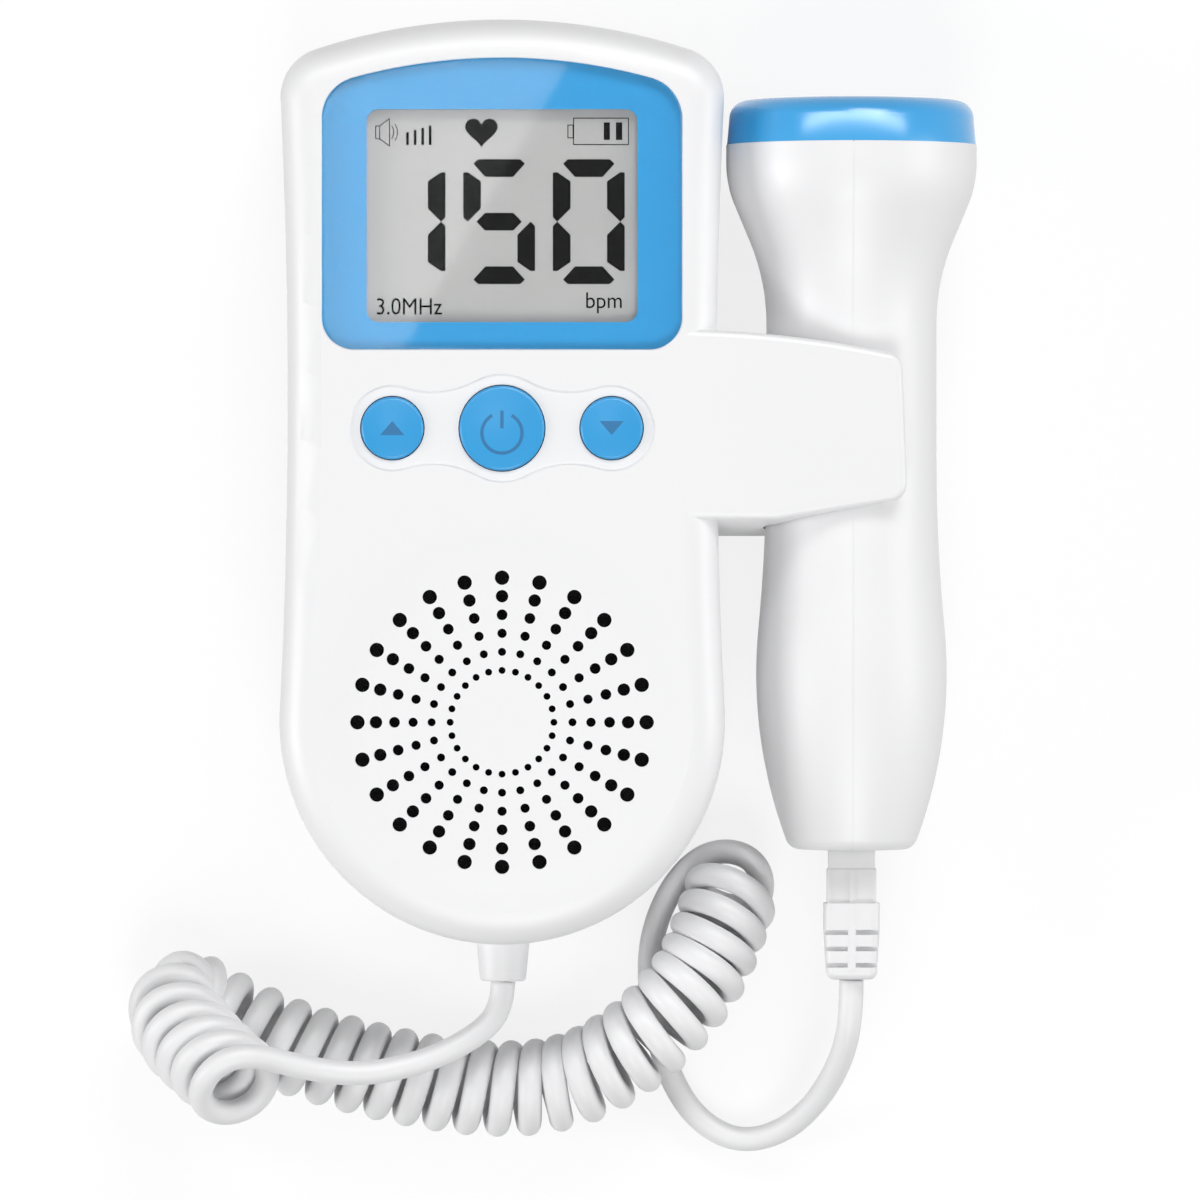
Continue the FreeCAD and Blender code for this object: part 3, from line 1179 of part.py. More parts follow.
# ---------------------------------------------------------------- socket, plug and boot
piece("probe_socket", cut(
    "probeSocket",
    box("socketBlock", ("probeX - socketWidth / 2", "probeX + socketWidth / 2"),
        (probeFloor, socketBack), ("probeZ - socketDepth / 2", "probeZ + socketDepth / 2")),
    keyhole("socketWay", "touchGap", (f"{probeFloor} - 1", "touchGap - plugTop"),
            f"{latchLow} - touchGap")))
bladeSpots = [f"(({number}) - 1.5) * bladePitch" for number in range(4)]
bladeSlots = [
    box(f"bladeSlot{number}", (f"probeX + {x} - bladeThick / 2", f"probeX + {x} + bladeThick / 2"),
        ("-plugTop - bladeLength", "-plugTop"),
        ("probeZ + plugDepth / 2 - 2 * bladeHeight", "probeZ + plugDepth / 2 + 1"))
    for number, x in enumerate(bladeSpots)]
plugNeck = "(-probeBottom - plugNeckLength)"
gripFields = [
    box(f"gripField{side}", field, ("-plugBottom - 1", f"{plugNeck} - gripRim / 2"),
        ("probeZ + plugDepth / 2 + plugStep - gripSink", "probeZ + plugDepth"))
    for side, field in (
        ("Left", ("probeX - plugWidth / 2 - plugStep + gripRim", "probeX - gripSpine / 2")),
        ("Right", ("probeX + gripSpine / 2", "probeX + plugWidth / 2 + plugStep - gripRim")))]
piece("plug_body", cut(
    "plugBody",
    fuse("plugSolid",
         box("plugNose", ("probeX - plugWidth / 2", "probeX + plugWidth / 2"),
             (plugNeck, "-plugTop"), ("probeZ - plugDepth / 2", "probeZ + plugDepth / 2")),
         box("plugGrip", ("probeX - plugWidth / 2 - plugStep", "probeX + plugWidth / 2 + plugStep"),
             ("-plugBottom", plugNeck),
             ("probeZ - plugDepth / 2 - plugStep", "probeZ + plugDepth / 2 + plugStep"))),
    *bladeSlots, *gripFields))
piece("plug_latch", fuse(
    "plugLatch",
    box("latchRoot", ("probeX - latchWidth / 2", "probeX + latchWidth / 2"),
        ("-plugTop - 2 * latchThick", "-plugTop - touchGap"), (latchLow, "probeZ - plugDepth / 2")),
    box("latchBlade", ("probeX - latchWidth / 2", "probeX + latchWidth / 2"),
        (plugNeck, "-plugTop - touchGap"), (latchLow, latchTop)),
    box("latchTail", ("probeX - latchRidge / 2", "probeX + latchRidge / 2"),
        ("-plugBottom", "-probeBottom"), (latchLow, "probeZ - plugDepth / 2 - plugStep"))))
piece("plug_contacts", group("plugContacts", *[
    box(f"blade{number}", (f"probeX + {x} - bladeThick / 2", f"probeX + {x} + bladeThick / 2"),
        ("-plugTop - bladeLength", "-plugTop"),
        ("probeZ + plugDepth / 2 - 2 * bladeHeight", "probeZ + plugDepth / 2"))
    for number, x in enumerate(bladeSpots)]))

bootTop = "(-plugBottom)"
bootEnd = "(-plugBottom - bootLength)"
bootHalf = "(bootWidth / 2)"
bootBlank = extrude("bootBlank", outline("bootEdge", (
    (f"-{bootHalf}", bootTop),
    (f"-{bootHalf}", f"{bootTop} - bootSlotFirst"),
    (f"bootTaper - {bootHalf}", bootEnd),
    (f"{bootHalf} - bootTaper", bootEnd),
    (bootHalf, f"{bootTop} - bootSlotFirst"),
    (bootHalf, bootTop),
), at=("probeX", "0", "probeZ - bootDepth / 2")), "bootDepth")
bootBlock = soften(
    "bootBlock", bootBlank,
    ("bootRound", lambda edge: edge.YMax < -num("plugBottom") - 0.1 or edge.YLength > 1))
bootSlots = [
    box(f"bootSlot{number}{face}{side}",
        ("probeX + bootSpine / 2", "probeX + bootWidth") if side == "Right"
        else ("probeX - bootWidth", "probeX - bootSpine / 2"),
        (f"{bootTop} - bootSlotFirst - {number} * bootSlotPitch - bootSlot",
         f"{bootTop} - bootSlotFirst - {number} * bootSlotPitch"),
        ("probeZ + bootDepth / 2 - bootSlotDepth", "probeZ + bootDepth") if face == "Front"
        else ("probeZ - bootDepth", "probeZ - bootDepth / 2 + bootSlotDepth"))
    for number in range(3) for face in ("Front", "Back") for side in ("Left", "Right")]
bootRidge = box(
    "bootRidge", ("probeX - gripSpine / 2", "probeX + gripSpine / 2"),
    (f"{bootEnd} + bootRound + touchGap", f"{bootTop} - touchGap"),
    ("probeZ + bootDepth / 2 - 2 * gripSink", "probeZ + bootDepth / 2 + gripSink / 2"))
piece("plug_boot", cut("plugBoot", fuse("bootRidged", bootBlock, bootRidge), *bootSlots))


# ---------------------------------------------------------------- cords
def route(name, points):
    # straight runs joined by tangent arcs, each arc as wide as the shorter of its runs allows
    points = [Vector(*spot) for spot in points]
    edges = []
    radii = []
    start = points[0]
    for before, corner, after in zip(points, points[1:], points[2:]):
        came = corner - before
        goes = after - corner
        turn = came.getAngle(goes)
        tangent = 0.45 * min(came.Length, goes.Length)
        radius = tangent / math.tan(turn / 2)
        came.normalize()
        goes.normalize()
        entry = corner - came * tangent
        leave = corner + goes * tangent
        inward = goes - came
        inward.normalize()
        middle = corner + inward * (radius / math.cos(turn / 2) - radius)
        edges.append(Part.LineSegment(start, entry).toShape())
        edges.append(Part.Arc(entry, middle, leave).toShape())
        radii.append(radius)
        start = leave
    edges.append(Part.LineSegment(start, points[-1]).toShape())
    line = doc.addObject("Part::Feature", name + "Line")
    line.Shape = Part.Wire(edges)
    print(name, "smallest bend radius", round(min(radii), 2), "mm, length",
          round(line.Shape.Length, 1), "mm")
    return line


def tube(name, points, diameter):
    line = route(name, points)
    first = Vector(*points[1]) - Vector(*points[0])
    ring = doc.addObject("Part::Circle", name + "Ring")
    bind(ring, "Radius", f"{diameter} / 2")
    ring.Placement = FreeCAD.Placement(Vector(*points[0]), Rotation(Vector(0, 0, 1), first))
    item = doc.addObject("Part::Sweep", name)
    item.Sections = [ring]
    item.Spine = (line, [f"Edge{number + 1}" for number in range(len(line.Shape.Edges))])
    item.Solid = True
    item.Frenet = False
    doc.recompute([ring, item])
    expected = math.pi * num(f"{diameter} / 2") ** 2 * line.Shape.Length
    ratio = item.Shape.Volume / expected
    assert abs(ratio - 1) < 0.01, f"{name} tube holds {ratio:.3f} of section times length"
    return item


reliefY = num(reliefEnd)
seamZ = num("seamHeight")
gap = num("touchGap")
probeAxis = (num("probeX"), num("probeZ"))
leadBody = tube("leadBody", (
    (0, reliefY - gap, seamZ),
    (0, -77.8, seamZ),
    (-5.1, -82.1, 18.9),
    (-12.2, -85.3, 19.7),
    (-21.0, -87.0, 21.0),
    (-29.8, -85.7, 23.2),
    (-36.9, -83.4, 24.8),
), "cordDiameter")
coilRun = tube("coilRun", (
    (-47.6, -76.2, 7.2),
    (-40.7, -79.1, 7.2),
    (-30.9, -83.8, 7.2),
    (-14.3, -88.1, 7.2),
    (-1.2, -89.8, 7.2),
    (9.6, -88.8, 8.0),
    (18.4, -84.1, 10.8),
    (25.5, -77.5, 12.0),
    (30.9, -69.5, 10.6),
    (34.4, -59.8, 8.6),
), "coilDiameter")
coilEnd = tube("coilEnd", (
    (-48.4, -77.2, 8.8),
    (-46.4, -81.8, 15.4),
    (-38.6, -88.5, 23.4),
), "coilDiameter")
leadProbe = tube("leadProbe", (
    (39.4, -62.1, 8.8),
    (38.5, -58.0, 8.4),
    (35.4, -54.6, 8.0),
    (32.0, -54.2, 7.4),
    (28.8, -55.4, 6.4),
    (25.5, -58.8, 4.8),
    (22.9, -63.8, 3.2),
    (21.4, -70.0, 2.0),
    (22.0, -79.0, 1.9),
    (24.5, -87.9, 1.9),
    (28.4, -94.2, 1.9),
    (34.6, -97.8, 2.0),
    (41.3, -96.2, 4.0),
    (46.4, -91.5, 8.6),
    (49.9, -84.9, 14.6),
    (probeAxis[0], -78.6, probeAxis[1]),
    (probeAxis[0], num(bootEnd) - gap, probeAxis[1]),
), "cordDiameter")
grid = num("layoutGrid")
innerCord = tube("innerCord", (
    (0, num(f"{flangeFace} + reliefFlangeThick") + gap, seamZ),
    (0, -56.5 * grid, seamZ),
    (0, -46 * grid, 11.5 * grid),
    (0, -36 * grid, 9 * grid),
    (-3 * grid, -20 * grid, 9 * grid),
    (-6 * grid, -6 * grid, 10.5 * grid),
    (-6 * grid, -6 * grid, num(boardBack) - 4.5 * grid - gap),
), "cordDiameter")
piece("cord_lead_body", leadBody)
piece("cord_coil", fuse("cordCoil", coilRun, coilEnd))
piece("cord_lead_probe", leadProbe)
piece("inner_cord", innerCord)
speakerLeads = [
    tube(f"speakerLead{number}", (
        (x * grid, -20.2 * grid, 24.6 * grid),
        (x * grid, -17.2 * grid, 22.4 * grid),
        (x * grid, -8.4 * grid, 22.4 * grid),
        (x * grid, -8.4 * grid, num(boardBack) - gap),
    ), "2 * leadRadius")
    for number, x in enumerate((1.8, 4.2))]
piece("speaker_leads", group("speakerLeads", *speakerLeads))

# ---------------------------------------------------------------- checks and files
doc.recompute()
for item in doc.Objects:
    bad = [word for word in item.State if word in ("Invalid", "Error")]
    assert not bad, f"{item.Name} is {bad}"
os.makedirs("parts", exist_ok=True)
for item in nodes:
    shape = item.Shape
    assert not shape.isNull(), f"{item.Label} is empty"
    assert shape.isValid(), f"{item.Label} isn't a valid solid"
    shape.exportStep(f"parts/{item.Label}.step")
    print(item.Label, len(shape.Solids), "solids,", round(shape.Volume, 1), "mm3")
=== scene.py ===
import math

import bmesh
import bpy
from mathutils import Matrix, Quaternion, Vector
from mathutils.bvhtree import BVHTree


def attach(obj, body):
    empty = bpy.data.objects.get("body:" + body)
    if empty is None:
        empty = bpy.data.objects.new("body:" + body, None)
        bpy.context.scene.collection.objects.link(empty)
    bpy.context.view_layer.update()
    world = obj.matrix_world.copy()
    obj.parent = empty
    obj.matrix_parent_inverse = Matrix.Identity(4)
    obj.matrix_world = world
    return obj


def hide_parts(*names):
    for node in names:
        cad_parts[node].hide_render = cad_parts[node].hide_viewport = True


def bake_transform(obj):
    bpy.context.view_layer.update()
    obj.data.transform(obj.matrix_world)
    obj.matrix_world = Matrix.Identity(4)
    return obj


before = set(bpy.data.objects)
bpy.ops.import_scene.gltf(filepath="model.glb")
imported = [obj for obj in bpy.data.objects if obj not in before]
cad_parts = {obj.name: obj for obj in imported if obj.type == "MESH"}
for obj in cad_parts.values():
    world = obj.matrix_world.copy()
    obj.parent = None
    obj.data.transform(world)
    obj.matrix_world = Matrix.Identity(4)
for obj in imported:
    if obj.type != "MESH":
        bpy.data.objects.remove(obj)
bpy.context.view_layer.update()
scene = bpy.context.scene
scene.view_settings.view_transform = "Standard"
mm = 0.001
print("frame loaded with", len(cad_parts), "nodes")

# camera, straight above and far away

view = {
    "aim": (14.26, -17.2),      # middle of the frame, mm
    "height": 1640,             # mm above the floor
    "level": 18,                # height at which the frame is as wide as this
    "width": 176.4,
}
cameraData = bpy.data.cameras.new("camera")
cameraData.sensor_width = 36
cameraData.lens = 36 * (view["height"] - view["level"]) / view["width"]
cameraData.clip_start = 0.1
cameraData.clip_end = 10
camera = bpy.data.objects.new("camera", cameraData)
camera.location = Vector((*view["aim"], view["height"])) * mm
scene.collection.objects.link(camera)
scene.camera = camera
print("camera lens", round(cameraData.lens, 1))

# cord: two leads and a curly part between them

cord = {
    "diameter": 3.6,
    # middle of the cord to the coil's axis, by distance along the axis from its left end
    "ringRadius": ((0, 5.82), (18, 5.8), (30, 5.46), (130, 5.42)),
    "sides": 18,
    "caseLead": (
        (0, -73.3, 18), (0, -77.8, 18), (-5.1, -82.1, 18.9), (-12.2, -85.3, 19.7),
        (-21.0, -87.0, 21.0), (-29.8, -85.7, 23.2), (-34.6, -84.2, 25.2)),
    "axis": (
        (-38.4, -88.6, 23.4), (-42.3, -85.2, 19.6), (-47.1, -81.1, 14.4), (-48.6, -76.4, 9.6),
        (-46.0, -76.2, 7.6), (-40.7, -79.3, 7.2), (-30.9, -83.8, 7.2), (-14.3, -88.1, 7.2),
        (-1.2, -89.8, 7.2), (9.6, -88.8, 8.0), (18.4, -84.1, 10.8), (25.5, -77.5, 12.0),
        (30.9, -69.5, 10.6), (34.2, -58.8, 8.8)),
    "coilEnd": (39.4, -62.1, 8.8),      # the last turn ends towards this spot
    "probeLead": (
        (39.4, -60.1, 8.8), (38.7, -57.0, 9.9), (35.4, -54.6, 9.0), (32.0, -54.2, 7.4),
        (28.8, -55.4, 6.4), (25.5, -58.8, 4.8), (22.9, -63.8, 3.2), (21.4, -70.0, 2.0),
        (22.0, -79.0, 1.9), (24.5, -87.9, 1.9), (28.4, -94.2, 1.9), (34.6, -97.8, 2.0),
        (41.3, -96.2, 4.0), (46.4, -91.5, 8.6), (49.9, -84.9, 14.6), (51.2, -78.6, 18.8),
        (51.2, -73.0, 18.8)),
    # step from turn to turn, by the same distance
    "pitch": ((0, 5.2), (3.2, 5.2), (3.6, 3.75), (16, 3.75), (19, 3.1), (23, 3.2), (27, 4.9),
              (34, 4.9), (38, 4.4), (79, 4.3), (99, 4.2), (114, 3.7), (129, 3.4)),
    "held": 0.3,                # part of a turn that the first ring makes before it moves on
    "heldSpots": 60,            # points on that part
    "settled": 40,              # from here on the pitch gives way, so that the last turn fits
    # the way that the first turns face, by the same distance
    "facing": ((0, (-0.22, 0.58, -0.77)), (8, (-0.22, 0.56, -0.80)), (14.5, (-0.14, 0.42, -0.90)),
               (18.3, (-0.02, 0.12, -0.99)), (21.2, (0.49, -0.10, -0.86)),
               (24, (0.82, -0.25, -0.50)), (28, (0.948, -0.319, 0)), (34, (0.94, -0.34, 0))),
    "facingFade": 16,           # they come round to the axis' own heading over this length
    "facingRounds": 200,        # rounds of smoothing of the way that the turns face
    "lastLean": 28,             # degrees that the last turns lean, over the last length
    "lastReach": 9,
    "axisStep": 0.1, "axisReach": 25,   # the axis' heading is taken this many steps either way
    # coil to case lead and to probe lead: points cut off before and after the join, and the
    # sweep of the curve that crosses it
    "caseJoin": ((5, 5), 1.1),
    "probeJoin": ((9, 13), 1.2),
    # spacing of the line's points, at first and at last, and rounds of smoothing in between
    "step": 0.5, "finalStep": 0.6, "finalRounds": 4,
    "bridge": 12,               # parts of the curve that crosses a join
}


def routePoints(name, spots):
    # a smooth line through the route, as points close together
    curve = bpy.data.curves.new(name, "CURVE")
    curve.dimensions = "3D"
    curve.resolution_u = 40
    spline = curve.splines.new("NURBS")
    spline.points.add(len(spots) - 1)
    for point, spot in zip(spline.points, spots):
        point.co = (*(Vector(spot) * mm), 1)
    spline.order_u = 3
    spline.use_endpoint_u = True
    holder = bpy.data.objects.new(name, curve)
    mesh = bpy.data.meshes.new_from_object(holder)
    line = [vertex.co.copy() for vertex in mesh.vertices]
    bpy.data.objects.remove(holder)
    bpy.data.curves.remove(curve)
    bpy.data.meshes.remove(mesh)
    return line


def evenly(line, step):
    # the same line with its points one step apart
    lengths = [0]
    for a, b in zip(line, line[1:]):
        lengths.append(lengths[-1] + (b - a).length)
    count = max(2, round(lengths[-1] / step))
    spots, number = [], 0
    for index in range(count + 1):
        reach = lengths[-1] * index / count
        while number < len(line) - 2 and lengths[number + 1] < reach:
            number += 1
        span = lengths[number + 1] - lengths[number]
        share = (reach - lengths[number]) / span if span > 0 else 0
        spots.append(line[number].lerp(line[number + 1], min(1, max(0, share))))
    return spots


def between(table, where):
    # a value read off a table of (place, value) pairs
    for (a, low), (b, high) in zip(table, table[1:]):
        if where <= b:
            share = max(0, (where - a) / (b - a))
            return low + (high - low) * share
    return table[-1][1]


def smoothed(spots, rounds):
    for _ in range(rounds):
        middle = [(a + 2 * b + c) / 4 for a, b, c in zip(spots, spots[1:], spots[2:])]
        spots = [spots[0], *middle, spots[-1]]
    return spots


def helixPoints(startSpot, endSpot):
    # the turns round the axis, left-handed, from beside startSpot to beside endSpot
    step = cord["axisStep"] * mm
    axis = evenly(routePoints("coilAxis", cord["axis"]), step)
    reach = cord["axisReach"]
    facing = [(place, Vector(way)) for place, way in cord["facing"]]
    lastReach = cord["lastReach"] * mm
    whole = (len(axis) - 1) * step
    normals = []
    for index in range(len(axis)):
        low, high = max(0, index - reach), min(len(axis) - 1, index + reach)
        along = (axis[high] - axis[low]).normalized()
        place = index * step
        share = min(1, max(0, (place / mm - facing[-1][0]) / cord["facingFade"]))
        normal = (between(facing, place / mm) * (1 - share) + along * share).normalized()
        share = max(0, 1 - (whole - place) / lastReach)
        level = Vector((along.y, -along.x, 0)).normalized()
        normals.append(Quaternion(level, -math.radians(cord["lastLean"] * share)) @ normal)
    normals = [n.normalized() for n in smoothed(normals, cord["facingRounds"])]
    side = startSpot - axis[0]
    side = (side - normals[0] * side.dot(normals[0])).normalized()
    frames = [side]
    for before, after in zip(normals, normals[1:]):
        side = before.rotation_difference(after) @ frames[-1]
        side = (side - after * side.dot(after)).normalized()
        frames.append(side)
    held = cord["held"]
    turned, turns = held, [held]
    for index in range(1, len(axis)):
        turned += step / (between(cord["pitch"], index * step / mm) * mm)
        turns.append(turned)
    last = endSpot - axis[-1]
    last = (last - normals[-1] * last.dot(normals[-1])).normalized()
    angle = frames[-1].angle(last)
    if frames[-1].cross(last).dot(normals[-1]) > 0:
        angle = 2 * math.pi - angle
    wanted = round(turned - angle / (2 * math.pi)) + angle / (2 * math.pi)
    spots = []
    for k in range(cord["heldSpots"]):
        spin = Quaternion(normals[0], -2 * math.pi * held * k / cord["heldSpots"])
        spots.append(axis[0] + (spin @ frames[0]) * cord["ringRadius"][0][1] * mm)
    settled = turns[round(cord["settled"] * mm / step)]
    stretch = (wanted - settled) / (turned - settled)
    for index, (centre, normal, side, turn) in enumerate(zip(axis, normals, frames, turns)):
        turn = turn if turn < settled else settled + (turn - settled) * stretch
        spin = Quaternion(normal, -2 * math.pi * turn)
        radius = between(cord["ringRadius"], index * step / mm) * mm
        spots.append(centre + (spin @ side) * radius)
    print("coil has", round(wanted, 1), "turns, its last part stretched", round(stretch, 3))
    return spots


def joinLines(first, second, join):
    # cuts both lines back and crosses the gap on a smooth curve
    trims, sweep = join
    first, second = first[:-trims[0]], second[trims[1]:]
    a, b = first[-1], second[0]
    leave = (first[-1] - first[-2]).normalized()
    enter = (second[1] - second[0]).normalized()
    pull = (b - a).length * sweep
    bridge = []
    for index in range(1, cord["bridge"]):
        t = index / cord["bridge"]
        bridge.append(
            a * (2 * t ** 3 - 3 * t ** 2 + 1) + leave * pull * (t ** 3 - 2 * t ** 2 + t)
            + b * (3 * t ** 2 - 2 * t ** 3) + enter * pull * (t ** 3 - t ** 2))
    return first + bridge + second


def cordLine():
    step, finalStep = cord["step"] * mm, cord["finalStep"] * mm
    caseLead = evenly(routePoints("caseLead", cord["caseLead"]), step)
    probeLead = evenly(routePoints("probeLead", cord["probeLead"]), step)
    helix = evenly(helixPoints(caseLead[-1], Vector(cord["coilEnd"]) * mm), step)
    line = joinLines(caseLead, helix, cord["caseJoin"])
    line = joinLines(line, probeLead, cord["probeJoin"])
    return evenly(smoothed(evenly(line, finalStep), cord["finalRounds"]), finalStep)


def tubeMesh(name, line, radius, sides):
    # a round tube along the line, closed at both ends
    tube = bmesh.new()
    direction = (line[1] - line[0]).normalized()
    side = direction.orthogonal().normalized()
    rings = []
    for index, spot in enumerate(line):
        before = line[max(0, index - 1)]
        after = line[min(len(line) - 1, index + 1)]
        turned = (after - before).normalized()
        side = direction.rotation_difference(turned) @ side
        side = (side - turned * side.dot(turned)).normalized()
        direction = turned
        other = direction.cross(side)
        angles = [2 * math.pi * k / sides for k in range(sides)]
        rings.append([
            tube.verts.new(spot + radius * (side * math.cos(angle) + other * math.sin(angle)))
            for angle in angles])
    for ring, after in zip(rings, rings[1:]):
        for k in range(sides):
            tube.faces.new((ring[k], ring[(k + 1) % sides], after[(k + 1) % sides], after[k]))
    tube.faces.new(list(reversed(rings[0])))
    tube.faces.new(rings[-1])
    for face in tube.faces:
        face.smooth = len(face.verts) == 4
    mesh = bpy.data.meshes.new(name)
    tube.to_mesh(mesh)
    tube.free()
    return mesh


def addPiece(name, mesh, material):
    piece = bpy.data.objects.new(name, mesh)
    scene.collection.objects.link(piece)
    mesh.materials.append(material)
    return piece


# materials

waveUnit = 0.314                # metres from band to band of a wave texture whose scale is 1


def linear(code):
    # sRGB hex to the linear colour that a shader takes
    parts = [int(code[k:k + 2], 16) / 255 for k in (1, 3, 5)]
    return (*((p / 12.92 if p <= 0.04045 else ((p + 0.055) / 1.055) ** 2.4) for p in parts), 1)


def addNode(tree, kind, inputs=None, **settings):
    # one node, its settings, and its sockets given a value or a link
    node = tree.nodes.new(kind)
    for key, value in settings.items():
        setattr(node, key, value)
    for socket, value in (inputs or {}).items():
        if isinstance(value, bpy.types.NodeSocket):
            tree.links.new(value, node.inputs[socket])
        else:
            node.inputs[socket].default_value = value
    return node


def startMaterial(name):
    material = bpy.data.materials.new(name)
    material.use_nodes = True
    tree = material.node_tree
    tree.nodes.clear()
    place = addNode(tree, "ShaderNodeTexCoord").outputs["Object"]
    return material, tree, place


def endMaterial(tree, shader):
    addNode(tree, "ShaderNodeOutputMaterial", {"Surface": shader})


def mouldedPlastic(name, facts):
    # a moulded surface: its gloss wanders a little, and a fine skin breaks up the highlight
    material, tree, place = startMaterial(name)
    cloud = addNode(tree, "ShaderNodeTexNoise", {
        "Vector": place, "Scale": 1 / (facts["cloud"] * mm), "Detail": 2.0})
    gloss = addNode(tree, "ShaderNodeMapRange", {
        "Value": cloud.outputs["Fac"], "From Min": 0.3, "From Max": 0.7,
        "To Min": facts["roughness"] - 0.03, "To Max": facts["roughness"] + 0.03})
    skin = addNode(tree, "ShaderNodeTexNoise", {
        "Vector": place, "Scale": 1 / (facts["skin"] * mm), "Detail": 3.0})
    bump = addNode(tree, "ShaderNodeBump", {
        "Height": skin.outputs["Fac"], "Strength": facts["bump"], "Distance": 0.02 * mm})
    shader = addNode(tree, "ShaderNodeBsdfPrincipled", {
        "Base Color": linear(facts["colour"]), "Roughness": gloss.outputs["Result"],
        "IOR": facts["ior"], "Normal": bump.outputs["Normal"], **facts.get("more", {})})
    endMaterial(tree, shader.outputs["BSDF"])
    return material


def platedMetal(name, facts):
    # a plated or polished metal: fine streaks across it, and a soft, uneven shine
    material, tree, place = startMaterial(name)
    grain = addNode(tree, "ShaderNodeMapping", {
        "Vector": place, "Scale": tuple(1 / (size * mm) for size in facts["grain"])})
    streak = addNode(tree, "ShaderNodeTexNoise", {
        "Vector": grain.outputs["Vector"], "Scale": 1.0, "Detail": 3.0})
    gloss = addNode(tree, "ShaderNodeMapRange", {
        "Value": streak.outputs["Fac"], "To Min": facts["roughness"] - 0.08,
        "To Max": facts["roughness"] + 0.08})
    bump = addNode(tree, "ShaderNodeBump", {
        "Height": streak.outputs["Fac"], "Strength": 0.1, "Distance": 0.01 * mm})
    shader = addNode(tree, "ShaderNodeBsdfPrincipled", {
        "Base Color": linear(facts["colour"]), "Metallic": 1.0,
        "Roughness": gloss.outputs["Result"], "Normal": bump.outputs["Normal"]})
    endMaterial(tree, shader.outputs["BSDF"])
    return material


whiteAbs = mouldedPlastic("whiteAbs", {     # white ABS from a satin mould: soft broad highlights
    "colour": "#f5f5f6", "roughness": 0.42, "ior": 1.53, "cloud": 30, "skin": 0.5, "bump": 0.12})
blueAbs = mouldedPlastic("blueAbs", {       # sky blue ABS from a polished mould: a brighter shine
    "colour": "#2ba1e1", "roughness": 0.3, "ior": 1.5, "cloud": 12, "skin": 0.5, "bump": 0.08})
symbolInk = mouldedPlastic("symbolInk", {   # pad-printed darker blue: matt beside the shiny button
    "colour": "#1a70a6", "roughness": 0.5, "ior": 1.5, "cloud": 3, "skin": 0.2, "bump": 0.1})
softPvc = mouldedPlastic("softPvc", {       # white PVC jacket, extruded: a waxy, dull sheen
    "colour": "#f1f1f2", "roughness": 0.45, "ior": 1.52, "cloud": 18, "skin": 0.6, "bump": 0.15})
jackPlastic = mouldedPlastic("jackPlastic", {       # black glass-filled nylon: dull and speckled
    "colour": "#141415", "roughness": 0.5, "ior": 1.53, "cloud": 4, "skin": 0.25, "bump": 0.3})
chipEpoxy = mouldedPlastic("chipEpoxy", {   # black moulding epoxy: matt, with a sandy skin
    "colour": "#18191b", "roughness": 0.62, "ior": 1.55, "cloud": 3, "skin": 0.15, "bump": 0.4})
switchNylon = mouldedPlastic("switchNylon", {       # moulded nylon: near black, with a low sheen
    "colour": "#232427", "roughness": 0.45, "ior": 1.53, "cloud": 3, "skin": 0.2, "bump": 0.2})
whiteAcetal = mouldedPlastic("whiteAcetal", {       # acetal: slippery, slightly milky
    "colour": "#ededea", "roughness": 0.3, "ior": 1.48, "cloud": 3, "skin": 0.3, "bump": 0.05})
whiteFrame = mouldedPlastic("whiteFrame", {         # white polycarbonate, plain mould finish
    "colour": "#e9e9e6", "roughness": 0.4, "ior": 1.58, "cloud": 10, "skin": 0.4, "bump": 0.1})
lightGuide = mouldedPlastic("lightGuide", {         # milky acrylic: looks lit from inside
    "colour": "#f0f2ee", "roughness": 0.25, "ior": 1.49, "cloud": 6, "skin": 0.3, "bump": 0.05})
plugPolycarbonate = mouldedPlastic("plugPolycarbonate", {   # frosted polycarbonate: hazy
    "colour": "#f0f0f0", "roughness": 0.35, "ior": 1.58, "cloud": 5, "skin": 0.3, "bump": 0.05,
    "more": {"Transmission Weight": 0.08}})
speakerPaper = mouldedPlastic("speakerPaper", {     # pressed paper pulp: felted, with no shine
    "colour": "#24221f", "roughness": 0.85, "ior": 1.45, "cloud": 5, "skin": 0.3, "bump": 0.6})
blackFoam = mouldedPlastic("blackFoam", {           # open-cell foam: black and crumbly
    "colour": "#0f0f10", "roughness": 0.95, "ior": 1.4, "cloud": 2, "skin": 0.35, "bump": 1.0})
ferrite = mouldedPlastic("ferrite", {               # pressed ferrite: charcoal with a dull glint
    "colour": "#2c2c2f", "roughness": 0.55, "ior": 1.9, "cloud": 6, "skin": 0.2, "bump": 0.3})
redWire = mouldedPlastic("redWire", {               # red PVC insulation
    "colour": "#b3201c", "roughness": 0.35, "ior": 1.52, "cloud": 4, "skin": 0.3, "bump": 0.05})
clearEpoxy = mouldedPlastic("clearEpoxy", {         # cast epoxy: amber and glossy
    "colour": "#c9a56a", "roughness": 0.15, "ior": 1.55, "cloud": 6, "skin": 0.5, "bump": 0.03})
firedCeramic = mouldedPlastic("firedCeramic", {     # lapped ceramic: pale, dense, matt
    "colour": "#d9d2c0", "roughness": 0.5, "ior": 1.7, "cloud": 3, "skin": 0.12, "bump": 0.1})
filledEpoxy = mouldedPlastic("filledEpoxy", {       # epoxy filled with metal powder: dark, grainy
    "colour": "#4b4d50", "roughness": 0.6, "ior": 1.55, "cloud": 5, "skin": 0.2, "bump": 0.4})
nickelPlate = platedMetal("nickelPlate", {          # nickel on spring steel: warm, bright
    "colour": "#c9c5bb", "roughness": 0.25, "grain": (0.1, 1.5, 0.1)})
